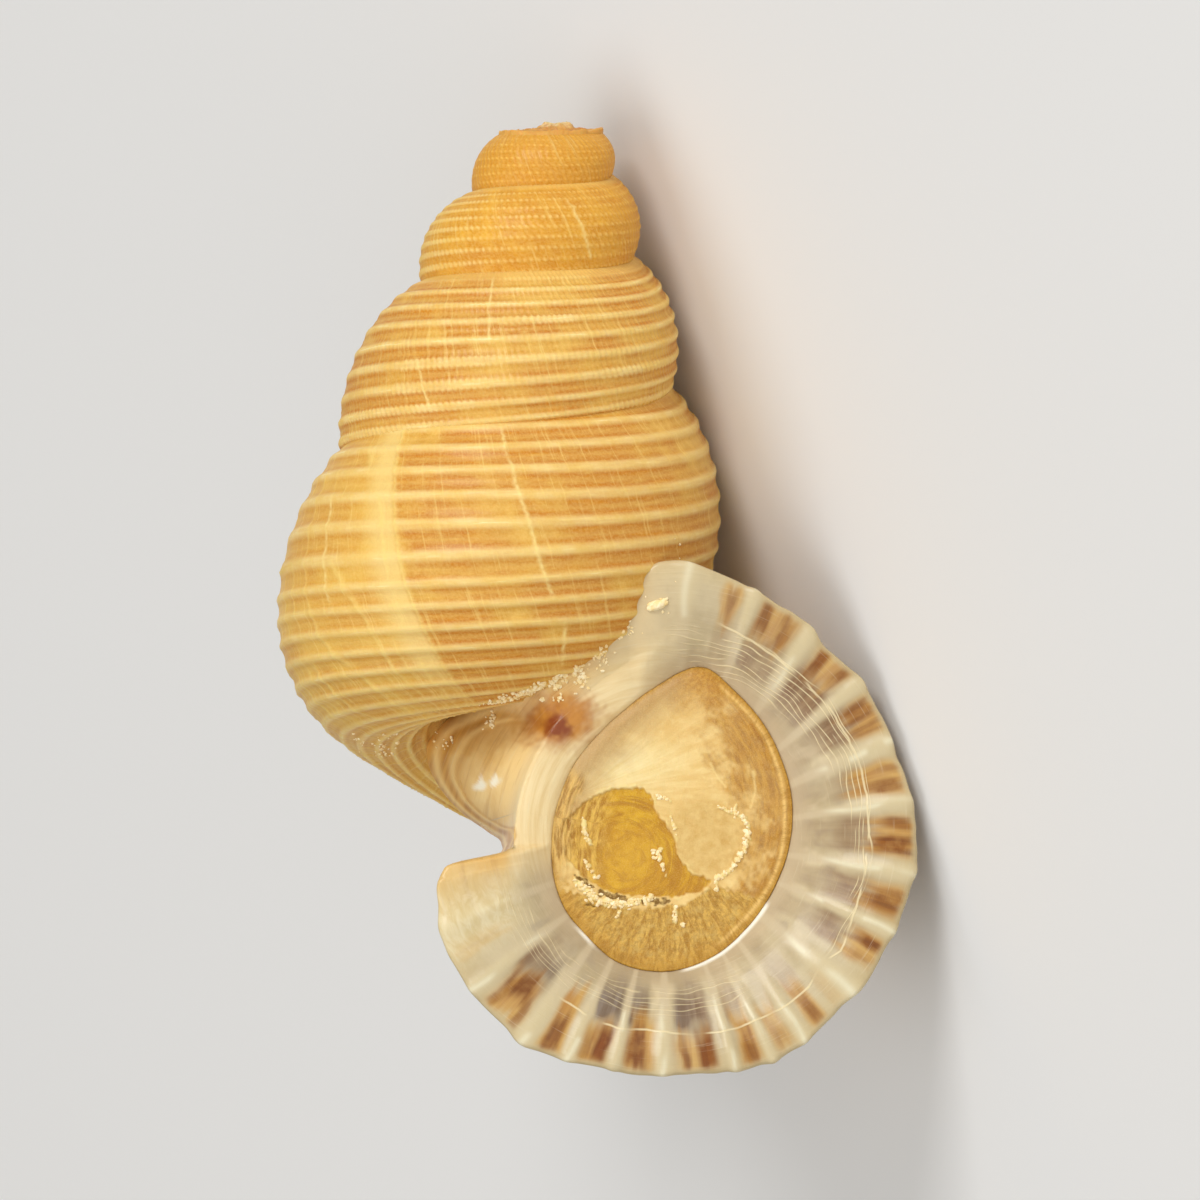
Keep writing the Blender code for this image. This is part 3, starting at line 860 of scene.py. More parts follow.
def near_rib(degrees, spread=1.0):
    """1 on a rib of the lip, and a short fall to each side."""
    near = [bump_at(wrap_degrees(degrees - rib), 0.0, width * spread) for rib, width in RIBS]
    return np.max(near, axis=0)


def lip_edge(degrees):
    steps = [wrap_degrees(degrees + shift) for shift in (-1.5, 0.0, 1.5)]
    edge = sum(np.interp(step, LIP_OUTLINE[:, 0], LIP_OUTLINE[:, 1]) for step in steps) / len(steps)
    edge = edge + 0.05 * near_rib(degrees) + 0.06 * (patchy(degrees / 3.5, 0.5, 21) - 0.5)
    return edge + (callus_edge(degrees)[0] - edge) * fused_share(degrees)


def mouth_place(across, up, out):
    """Points in the mouth's own axes: to its right, up along it, and out towards the front."""
    across, up, out = np.broadcast_arrays(across, up, out)
    return MOUTH_CENTRE + across[..., None] * ACROSS + up[..., None] * UP + out[..., None] * OUT


for name, outline in (("mouth", mouth_radius), ("lip", lip_edge)):
    reach = outline(np.arange(-180.0, 180.0))
    print(name, "edge stands", np.round((reach.min(), reach.max()), 2), "mm from the mouth's centre")


# %% [markdown]
# ## The lip's section
# The section is told in shares of the lip's width and rise, so one list serves all round. Its
# points are joined by short steps and smoothed. Each kind of mark is then worked out on that grid
# as a stored layer, by a function of its own.

# %% The lip's section
LIP_SECTION = np.array((        # share of the lip's width, share of its rise, set back in mm
    (-0.26, 0.00, 1.40), (-0.16, 0.00, 1.00), (0.16, 0.10, 0.46), (0.42, 0.62, 0.42), (0.75, 0.92, 0.36),
    (0.93, 1.00, 0.28), (0.98, 1.00, 0.23), (1.00, 1.00, 0.15), (0.99, 1.00, 0.06), (0.965, 0.99, 0.01),
    (0.80, 0.95, 0.00), (0.60, 0.84, 0.00), (0.44, 0.69, 0.00), (0.28, 0.50, 0.00), (0.15, 0.26, 0.00),
    (0.06, 0.06, 0.00), (0.00, -0.03, 0.05), (-0.002, -0.03, 0.22), (-0.003, 0.00, 0.50),
    (-0.06, 0.00, 0.72),
))
LIP_STEPS = (3, 4, 5, 7, 6, 4, 3, 3, 3, 10, 12, 10, 10, 8, 7, 5, 4, 3, 2)
LIP_COLUMNS = 720
LIP_SEAM = -160.0       # degrees at which the sheet closes
COLLAR_WIDTH = 3.3      # millimetres that a whole share would be, inside the mouth's edge
BACK_ROWS = sum(LIP_STEPS[:7])      # the rows that face away from the front
SHOW_THROUGH = (    # how much of each mark shows through to the back
    ("ray", 0.45), ("gold", 0.55), ("gap", 0.6), ("belt", 0.0), ("crack_here", 0.0), ("painted_highlight", 0.0),
)
ROOT_ROW = 10       # the one of them that runs along the callus's root


def section_rows():
    """The section's points joined by short steps, and smoothed."""
    rows = []
    for start, end, steps in zip(LIP_SECTION, LIP_SECTION[1:], LIP_STEPS):
        rows += [start + (end - start) * step / steps for step in range(steps)]
    rows = np.array([*rows, LIP_SECTION[-1]])
    for _ in range(4):
        rows[1:-1] = (rows[:-2] + 2.0 * rows[1:-1] + rows[2:]) / 4.0
    return rows


print("the lip's section has", len(section_rows()), "points,", BACK_ROWS, "of them on its back")


# %% Rays, gaps, rings and the healed line
def ray_marks(table, softness, degrees, sway, radius, edge):
    """Rays or stripes between the ribs, with uneven ends."""
    best = np.zeros_like(radius)
    for place, width, start, end, strength in table:
        off = np.abs(wrap_degrees(degrees + sway - place)) / width
        uneven = 0.30 * (patchy(degrees / 1.3, place * 0.7, 23) - 0.5)
        lean = 0.30 * (patchy(degrees / 0.9, place * 1.3, 49) - 0.5)
        reach = smooth_step((radius - start - uneven - lean + 0.2) / 0.62)
        reach = reach * smooth_step((end + 0.26 + 0.5 * uneven + lean - radius) / 0.46)
        reach = reach * smooth_step((edge - radius - 0.02) / 0.20)
        within = 1.0 - smooth_step((off - 1.0 + softness) / (1.5 * softness))
        best = np.maximum(best, reach * within * strength)
    return best


def gap_marks(degrees, sway, radius, inner):
    """Cloudy grey and violet between the ribs, nearer the mouth."""
    gap = np.zeros_like(radius)
    for place, width, strength in GAPS:
        off = np.abs(wrap_degrees(degrees + sway - place)) / width
        gap = np.maximum(gap, (1.0 - climb(off, 0.62, 0.55)) * strength)
    cloudy = patchy(degrees / 4.0, radius / 0.35, 33)
    gap = gap * smooth_step((5.35 + 0.3 * cloudy - radius) / 0.7)
    gap = gap * smooth_step((radius - inner - 0.1) / 0.5) * (0.85 + 0.5 * cloudy)
    return gap * (0.38 + 0.62 * smooth_step((radius - 3.75 - 0.4 * cloudy) / 0.6))


def ring_belt(turned, radius):
    """Where the fine growth rings show: on the upper right, and fainter low on the left."""
    belt = climb(radius, 3.95, 0.15) * fall(radius, 5.12, 0.1)
    belt = belt * climb(turned, -36.0, 6.0) * fall(turned, 100.0, 14.0)
    belt = belt * smooth_step((radius - 3.75 - 0.012 * np.abs(turned - 70.0)) / 0.1)
    low_belt = climb(radius, 3.95, 0.1) * fall(radius, 4.75, 0.1) * 0.6
    low_belt = low_belt * climb(turned, -154.0, 6.0) * fall(turned, -56.0, 6.0)
    return np.maximum(belt, low_belt)


def healed_line(degrees, turned, radius):
    """Distance to the healed line round the lip, and where it shows."""
    crack_here = fall(turned, 84.0, 5.0) * climb(turned, -118.0, 4.0)
    crack_off = radius - np.interp(turned, CRACK_LINE[:, 0], CRACK_LINE[:, 1])
    crack_off = crack_off + 0.06 * (patchy(degrees / 2.5, 0.5, 25) - 0.5)
    return crack_off, crack_here * smooth_step((patchy(degrees / 5.0, 1.5, 26) - 0.25) / 0.3)


# %% Stain, painted highlights and folds of the callus
def stain_marks(x, y):
    """The rusty stain beside the mouth, and the wider orange halo round it."""
    ragged = 0.5 * (patchy(x / 0.10, y / 0.10, 29) - 0.5)
    stain_x, stain_y = x - STAIN_PLACE[0], y - STAIN_PLACE[1]
    halo_x, halo_y = x - HALO_PLACE[0], y - HALO_PLACE[1]
    stain = np.hypot(stain_x * 0.9 - stain_y * 0.43, (stain_y * 0.9 + stain_x * 0.43) * 1.4) / 0.42
    halo = np.hypot(halo_x * 0.95 + halo_y * 0.2, (halo_y * 0.95 - halo_x * 0.2) * 1.5) / 1.02
    halo = halo + 0.25 * (patchy((x + y) / 0.5, (x - y) / 0.14, 39) - 0.5)
    return smooth_step((1.25 + ragged - stain) / 0.8), smooth_step((1.40 + ragged * 0.4 - halo) / 0.95)


def painted_highlight_marks(x, y):
    """Painted highlights in the callus hollow, drawn out upward."""
    painted_highlight = np.zeros_like(x)
    for highlight_x, highlight_y, size in PAINTED_HIGHLIGHTS:
        height = 0.62 * size + 0.5 * np.maximum(y - highlight_y, 0.0)
        off = np.hypot((x - highlight_x) / size, (y - highlight_y) / height)
        off = off - 0.7 * (patchy(x / 0.045, y / 0.25, 45) - 0.5)
        painted_highlight = np.maximum(painted_highlight, fall(off, 1.1, 0.8))
    return painted_highlight


def fold_marks(round_turn, radius, inner, edge):
    """The folds along the callus's edge, and where they lie."""
    fold_pitch = np.interp(round_turn, *np.transpose(FOLD_PITCH))
    fold_phase = (edge - radius) / fold_pitch + 0.43
    fold_phase = fold_phase + 0.35 * (patchy(round_turn / 9.0, (edge - radius) / 0.5, 46) - 0.5)
    folded = climb(round_turn, 144.0, 8.0) * fall(round_turn, 196.0, 6.0)
    folded = folded * fall(fold_phase, 2.75, 0.7) * smooth_step((radius - inner - 0.75) / 0.2)
    return ridge(fold_phase, 0.24) * folded, folded


# %% Layers of the lip
def lip_material_layers(degrees, share, radius, inner):
    """What the lip's finish needs at each point."""
    turned = wrap_degrees(degrees)
    round_turn = degrees % 360.0
    edge = lip_edge(degrees)
    rib = near_rib(degrees) * climb(share, 0.10, 0.3)
    wide_rib = near_rib(degrees, 0.75 + 0.45 * share)
    # Painted highlight: narrow bright streaks along the ribs, broken here and there.
    painted_rib_highlight = near_rib(degrees + 0.5 * np.sin(radius * 3.0), 0.30)
    painted_rib_highlight = painted_rib_highlight * smooth_step((patchy(radius / 0.5, degrees / 9.0, 24) - 0.35) / 0.3)
    sway = 1.4 * (patchy(radius * 2.2, degrees / 5.0, 30) - 0.5)
    crack_off, crack_here = healed_line(degrees, turned, radius)
    angle = np.radians(degrees)
    x, y = radius * np.cos(angle), radius * np.sin(angle)
    stain, halo = stain_marks(x, y)
    fold, folded = fold_marks(round_turn, radius, inner, edge)
    # Painted highlight: a near-white line along the lower inner rim, on the right and at one spot on the
    # left.
    painted_rim_highlight = smooth_step((0.045 - np.abs(share - 0.005)) / 0.03)
    rim_highlight_here = climb(turned, -80.0, 5.0) * fall(turned, -28.0, 5.0)
    rim_highlight_here = rim_highlight_here + bump_at(turned, -122.0, 5.0)
    callus = climb(round_turn, 84.0, 34.0) * (1.0 - climb(round_turn, 190.0, 24.0))
    lobe_top = fall(turned, -157.0, 6.0) * climb(share, 0.15, 0.3)
    return {
        "stain": stain,
        "halo": halo,
        "past_band": smooth_step((radius - inner - BAND_WIDTH) / 0.35),
        "rib": rib * (1.0 - callus),
        "wide_rib": wide_rib * (1.0 - callus),
        "painted_rib_highlight": painted_rib_highlight * (1.0 - callus) * climb(share, 0.2, 0.2),
        "ray": ray_marks(STRIPES, 0.55, degrees, sway, radius, edge),
        "gold": ray_marks(RAYS, 0.45, degrees, sway, radius, edge),
        "gap": gap_marks(degrees, sway, radius, inner),
        "belt": ring_belt(turned, radius),
        "crack_off": crack_off,
        "crack_here": crack_here,
        "painted_rim_highlight": painted_rim_highlight * rim_highlight_here,
        "share": share,
        "angle": turned,
        "callus": callus,
        "radius": radius,
        "line_radius": radius - 0.012 * np.minimum(turned + 112.0, 0.0),
        "round": round_turn,
        "fold": fold,
        "folded": folded,
        "painted_highlight": painted_highlight_marks(x, y),
        "lobe_top": lobe_top * fall(radius, 5.25, 0.9),
        "lobe": fall(turned, -136.0, 10.0) * climb(share, 0.2, 0.3),
    }


# %% [markdown]
# ## The lip's finish
# The lip is porcelain-like: smoother, whiter and glossier than the whorls. Grey and violet show
# through between the ribs nearer the mouth, where the layer is thin, and the brown rays end in
# soft, broken tips. The callus and the growth lines have a function each, because the lip's own
# colours are long enough.

# %% Lime of the callus
def callus_part(f, angle, radius, cloud):
    """Cream band and folds of the callus, and the golden hollow between them."""
    drawn = f.noise(1.0, 4.0, 0.6, f.place(f.layer("round"), radius, 0.035, 6.0), 0.3)
    cream = f.shade(drawn, 0.30, 0.70, (228, 200, 144), (240, 218, 168))
    hollow = f.shade(cloud, 0.35, 0.65, (226, 184, 110), (242, 210, 144))
    hollow = f.dust(hollow, drawn, 0.50, 0.65, 0.5, (202, 154, 88))
    high = f.window(f.math("ABSOLUTE", angle), 132.0, 112.0)
    hollow = f.mix(high, hollow, f.shade(cloud, 0.35, 0.65, (208, 178, 128), (222, 198, 150)))
    cream = f.mix(f.layer("past_band"), cream, hollow)
    furrow = f.shade(drawn, 0.35, 0.65, (180, 116, 22), (210, 154, 66))
    cream = f.lay(cream, "folded", 0.85, furrow)
    cream = f.lay(cream, "fold", 0.80, (244, 210, 138))
    # Painted highlight: near-white spots in the callus hollow.
    cream = f.lay(cream, "painted_highlight", 0.85, (255, 250, 228))
    return cream


# %% Growth lines of the lip
def line_part(f, angle):
    """Fine growth lines round the mouth, broken here and there, and the healed line."""
    line_radius = f.layer("line_radius")
    waver = f.times(f.noise(1.0, 1.0, 0.5, f.place(angle, line_radius, 0.06, 1.6)), 3.4)
    phase = f.math("ADD", f.times(line_radius, 1.0 / 0.125), waver)
    away = f.math("PINGPONG", phase, 0.5)
    which = f.math("FLOOR", f.math("ADD", phase, 0.5))
    drawn_here = f.window(f.noise(1.0, 2.0, 0.6, f.place(angle, which, 0.09, 3.7)), 0.34, 0.52)
    line = f.times(f.times(f.window(away, 0.15, 0.04), drawn_here), f.layer("belt"))
    crack = f.times(f.window(f.math("ABSOLUTE", f.layer("crack_off")), 0.040, 0.012), f.layer("crack_here"))
    return f.math("MAXIMUM", line, crack)


# %% Lime of the lip
def lip_lime():
    f = Finish("lip_lime")
    share, angle, radius, rib = f.layer("share"), f.layer("angle"), f.layer("radius"), f.layer("wide_rib")
    spokes = f.noise(1.0, 3.0, 0.5, f.place(angle, share, 0.55, 1.2))
    rings = f.noise(1.0, 3.0, 0.6, f.place(angle, radius, 0.06, 14.0))
    cloud = f.noise(420.0, 4.0, 0.6)
    mist = f.noise(1400.0, 4.0, 0.6)
    grain = f.noise(5200.0, 3.0, 0.6)
    low = f.times(f.window(angle, -66.0, -84.0), f.window(angle, -135.0, -118.0))
    colour = f.shade(cloud, 0.35, 0.65, (182, 163, 126), (200, 183, 146))
    colour = f.dust(colour, share, 0.70, 1.0, 0.6, (196, 175, 128))
    colour = f.dust(colour, mist, 0.52, 0.70, 0.30, (172, 154, 120))
    haze = f.noise(1.0, 2.0, 0.5, f.place(angle, radius, 0.10, 1.1), 0.5)
    lower = f.window(share, 0.55, 0.30)
    colour = f.mix(f.times(lower, f.window(haze, 0.50, 0.68, 0.0, 0.55)), colour, (222, 204, 166))
    colour = f.mix(f.times(lower, f.window(haze, 0.48, 0.32, 0.0, 0.45)), colour, (160, 142, 122))
    near = f.window(share, 0.24, 0.04)
    colour = f.mix(f.times(near, 0.80), colour, f.mix(low, (192, 171, 138), (178, 158, 126)))
    dark = f.mix(low, (130, 98, 68), (120, 100, 80))
    dark = f.mix(f.window(spokes, 0.35, 0.65), dark, f.mix(low, (152, 122, 88), (138, 122, 106)))
    dark = f.dust(dark, mist, 0.45, 0.62, 0.5, f.mix(low, (120, 84, 62), (110, 86, 62)))
    colour = f.mix(f.layer("gap"), colour, dark)
    pale = f.shade(share, 0.25, 0.70, (202, 184, 150), (206, 189, 148))
    colour = f.mix(f.times(f.window(rib, 0.25, 0.95), 0.85), colour, pale)
    golden = f.shade(spokes, 0.35, 0.65, (178, 118, 22), (198, 148, 56))
    golden = f.dust(golden, mist, 0.50, 0.68, 0.4, (200, 164, 96))
    colour = f.lay(colour, "gold", 0.85, golden)
    broken = f.window(mist, 0.30, 0.55, 0.60, 1.0)
    brown = f.shade(spokes, 0.35, 0.65, (114, 60, 4), (142, 82, 8))
    brown = f.mix(low, brown, f.shade(spokes, 0.35, 0.65, (110, 56, 18), (130, 72, 26)))
    colour = f.mix(f.times(f.layer("ray"), broken), colour, brown)
    # Painted highlight: the bright streaks along the ribs.
    colour = f.lay(colour, "painted_rib_highlight", 0.75, (226, 218, 186))
    wrinkles = f.noise(1.0, 3.0, 0.6, f.place(angle, radius, 0.16, 3.2), 0.8)
    lobe = f.shade(wrinkles, 0.30, 0.70, (210, 188, 134), (230, 216, 176))
    colour = f.lay(colour, "lobe", 0.75, lobe)
    colour = f.lay(colour, "lobe_top", 0.85, f.shade(cloud, 0.35, 0.65, (216, 158, 70), (222, 180, 104)))

    cream = callus_part(f, angle, radius, cloud)
    colour = f.mix(f.layer("callus"), colour, cream)
    colour = f.lay(colour, "halo", 0.90, f.shade(mist, 0.35, 0.65, (164, 90, 0), (192, 122, 14)))
    colour = f.lay(colour, "stain", 0.88, (128, 54, 22))
    line = line_part(f, angle)
    colour = f.mix(f.times(line, 0.75), colour, (232, 214, 168))
    colour = f.dust(colour, rings, 0.58, 0.72, 0.20, (224, 210, 176))
    # Painted highlight along the lip's inner rim.
    colour = f.mix(f.layer("painted_rim_highlight"), colour, (252, 248, 232))
    rough = f.window(cloud, 0.3, 0.7, 0.26, 0.42)
    height = f.math("ADD", f.times(grain, 0.30), f.times(rings, 0.45))
    height = f.math("ADD", height, f.times(line, 0.6))
    return f.finish(
        colour, rough, height, 0.35, 0.00006,
        Subsurface_Weight=0.15, Subsurface_Radius=(1.0, 0.8, 0.6), Subsurface_Scale=0.00015,
        Coat_Weight=0.14, Coat_Roughness=0.14, Specular_IOR_Level=0.28,
    )


porcelain = lip_lime()
print(porcelain.name, "has", len(porcelain.node_tree.nodes), "nodes")


# %% [markdown]
# ## The lip's sheet
# The back of the callus has to end inside something, or its edge would hang in the air. So its
# rows run from the collar to a root, in the whorl on one side and in the tube on the other, and
# from the root out to the edge. Between the two it bridges the open space beside the navel. By the
# tube the root stays a little short of the wall, so a thin wedge is open there.

# %% The lip's sheet
def with_callus_back(degrees, radius, out):
    """Leads the rows of the callus's back to a root inside the whorls or the tube, and out to its edge."""
    turned = degrees % 360.0
    row = np.arange(len(radius))[:, None]
    to_root = np.clip(row / ROOT_ROW, 0.0, 1.0)
    to_edge = np.clip((row - ROOT_ROW) / (BACK_ROWS - ROOT_ROW), 0.0, 1.0)
    by_tube = climb(turned, 161.0, 13.0)
    share = climb(turned, 140.0, 8.0) * (1.0 - climb(turned, 188.0, 11.0))
    share = share * (row < BACK_ROWS)
    placed = []
    whorl_roots = (0.84 * radius[BACK_ROWS], out[BACK_ROWS] - CALLUS_DEPTH)
    for values, whorl_root, tube_root in zip((radius, out), whorl_roots, CALLUS_ROOT):
        root = whorl_root + (tube_root - whorl_root) * by_tube
        ruled = values[0] + (root - values[0]) * to_root
        ruled = ruled + (values[BACK_ROWS] - root) * to_edge
        placed.append(values + (ruled - values) * share)
    return placed


def make_lip():
    rows = section_rows()
    degrees = np.linspace(0.0, 360.0, LIP_COLUMNS + 1)[None, :] + LIP_SEAM
    share, rise, back = (rows[:, column, None] for column in range(3))
    inner = mouth_radius(degrees)
    edge = lip_edge(degrees)
    radius = inner + (edge - inner) * np.maximum(share, 0.0) + COLLAR_WIDTH * np.minimum(share, 0.0)
    fused = fused_share(degrees)
    layers = lip_material_layers(degrees, share * np.ones_like(degrees), radius, inner)
    front = (np.arange(len(rows)) >= BACK_ROWS)[:, None]
    for name, through in SHOW_THROUGH:
        layers[name] = layers[name] * np.where(front, 1.0, through)
    free = 1.0 - fused
    callus_width = np.maximum(edge - inner - BAND_WIDTH, 0.1)
    past_band = np.clip((radius - inner - BAND_WIDTH) / callus_width, 0.0, 1.0)
    band = BAND_RISE * np.sin(np.clip((radius - inner) / BAND_WIDTH, 0.0, 1.0) * math.pi / 2)
    callus = band + (callus_edge(degrees)[1] - BAND_RISE) * past_band**CALLUS_SAG
    out = rise * LIP_RISE * free + callus * fused - back * (1.0 - 0.5 * fused * past_band)
    wave = (layers["rib"] - 0.40) * 0.07 * climb(share, 0.15, 0.5) * free
    soft = 0.05 * (patchy(degrees / 9.0, radius / 1.5, 27) - 0.5) * climb(share, 0.1, 0.3)
    out = out + wave + soft + 0.04 * layers["fold"]
    out = out - 0.10 * climb(share, 0.9, 0.1) * (patchy(degrees / 5.0, 0.5, 28) - 0.4) * free
    radius, out = with_callus_back(degrees, radius, out)
    angle = np.radians(degrees)
    points = mouth_place(radius * np.cos(angle), radius * np.sin(angle), out)
    points[:, -1] = points[:, 0]
    sheet = new_sheet("lip", points, layers, porcelain)
    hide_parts("shell")
    return sheet


lip = make_lip()


# %% [markdown]
# ## The operculum
# The lid that the snail pulls shut behind itself is horn, not lime. It began as a small amber
# disc low on the left and was widened edge by edge. A pale crust covers the upper and right parts.
# It has flaked off the nucleus, which leaves crumbly borders, and it is cracked across below the
# nucleus. The plate has the mouth's outline and is worked in polar steps. The border of the bare
# patch, the crack and the rows of crumbs are short lists of places in the mouth's own axes.

# %% The operculum's parts
BARE_PATCH = np.array((     # the border of the bare amber, across and up from the mouth's centre
    (-2.60, -0.10), (-2.25, 0.38), (-1.85, 0.70), (-1.35, 0.92), (-0.78, 1.00), (-0.50, 0.80),
    (-0.28, 0.35), (0.12, -0.05), (0.28, -0.55), (0.62, -0.98), (1.22, -1.10), (1.02, -1.40),
    (0.45, -1.62), (-0.22, -1.72), (-0.90, -1.72), (-1.50, -1.66), (-2.00, -1.40), (-2.45, -1.00),
))
NUCLEUS = (-0.95, -0.75)    # the oldest spot, with rings round it
FAN_ROOT = (-2.30, 0.65)    # where the fibres of the cover spread from
COVER_HEIGHT = 0.050        # millimetres that the cover stands above the bare patch
CRACK = np.array((
    (-2.10, -1.42), (-1.72, -1.62), (-1.30, -1.78), (-0.80, -1.84), (-0.30, -1.80), (0.25, -1.74),
))
VEINS = (
    np.array(((0.85, 1.80), (1.05, 1.50), (1.30, 1.25))),
    np.array(((1.95, 1.70), (2.05, 1.20), (1.98, 0.80))),
)
LOWER_CRACK = np.array(((-1.95, -2.06), (-1.50, -2.10), (-1.15, -2.02)))
CRUMB_ROWS = (      # places along a row of crumbs, spread, how many, their size in mm
    (((-2.12, -1.52), (-1.80, -1.78), (-1.45, -1.95), (-1.05, -1.98), (-0.60, -1.86), (-0.20, -1.74)),
     0.10, 120, 0.060),
    (((-0.92, -1.98), (-1.00, -2.20), (-1.06, -2.32)), 0.03, 12, 0.035),
    (((-0.34, -0.58), (-0.14, -0.50), (-0.12, -0.70), (-0.26, -0.72)), 0.04, 12, 0.075),
    (((-0.06, -0.84), (0.00, -0.98), (0.04, -1.12)), 0.02, 10, 0.055),
    (((1.20, 0.72), (1.42, 0.66), (1.56, 0.64), (1.62, 0.86)), 0.04, 20, 0.045),
    (((1.62, 0.62), (1.84, 0.50), (1.96, 0.30), (1.98, 0.02), (1.92, -0.25), (1.80, -0.50)),
     0.06, 60, 0.060),
    (((1.80, -0.55), (1.62, -0.82), (1.42, -1.00), (1.26, -1.06)), 0.05, 36, 0.055),
    (((1.30, -1.12), (1.36, -1.36)), 0.03, 8, 0.050),
    (((0.36, -1.86), (0.40, -2.10), (0.42, -2.26)), 0.03, 14, 0.050),
    (((0.62, -2.30), (0.64, -2.34)), 0.02, 3, 0.060),
    (((-1.98, -0.95), (-1.80, -1.22), (-1.62, -1.36)), 0.05, 12, 0.055),
    (((-2.12, 0.05), (-2.08, -0.30), (-1.90, -0.55)), 0.06, 16, 0.045),
    (((-0.42, 0.86), (-0.22, 0.80), (-0.05, 0.76)), 0.03, 20, 0.050),
    (((0.02, 0.35), (0.12, 0.12), (0.22, -0.10)), 0.03, 9, 0.035),
)


print(sum(row[2] for row in CRUMB_ROWS), "crumbs in", len(CRUMB_ROWS), "rows on the plate")


# %% Distances on the plate
def line_distance(places, across, up, closed=False):
    """Distance in millimetres to a chain of places."""
    ends = np.roll(places, -1, axis=0) if closed else places[1:]
    best = np.full(np.shape(across), 1e9)
    for start, end in zip(places, ends):
        step = end - start
        share = ((across - start[0]) * step[0] + (up - start[1]) * step[1]) / (step @ step)
        share = np.clip(share, 0.0, 1.0)
        near = start + share[..., None] * step
        best = np.minimum(best, np.hypot(across - near[..., 0], up - near[..., 1]))
    return best


def depth_inside(border, across, up):
    """How far inside a closed border a place lies, less than 0 outside it."""
    inside = np.zeros(np.shape(across), bool)
    for start, end in zip(border, np.roll(border, -1, axis=0)):
        crosses = (start[1] > up) != (end[1] > up)
        at = start[0] + (up - start[1]) * (end[0] - start[0]) / (end[1] - start[1] + 1e-12)
        inside ^= crosses & (across < at)
    return np.where(inside, 1.0, -1.0) * line_distance(border, across, up, closed=True)


nucleus_depth = depth_inside(BARE_PATCH, *np.reshape(NUCLEUS, (2, 1)))[0]
print("nucleus lies", round(nucleus_depth, 2), "mm inside the bare patch")


# %% [markdown]
# ## Horn of the operculum
# Thin horn glows amber, the crust over it is cream, and the lower part is dull and gritty. Each
# zone has a stored layer, and streaky noise in the plate's own places gives it fibres.

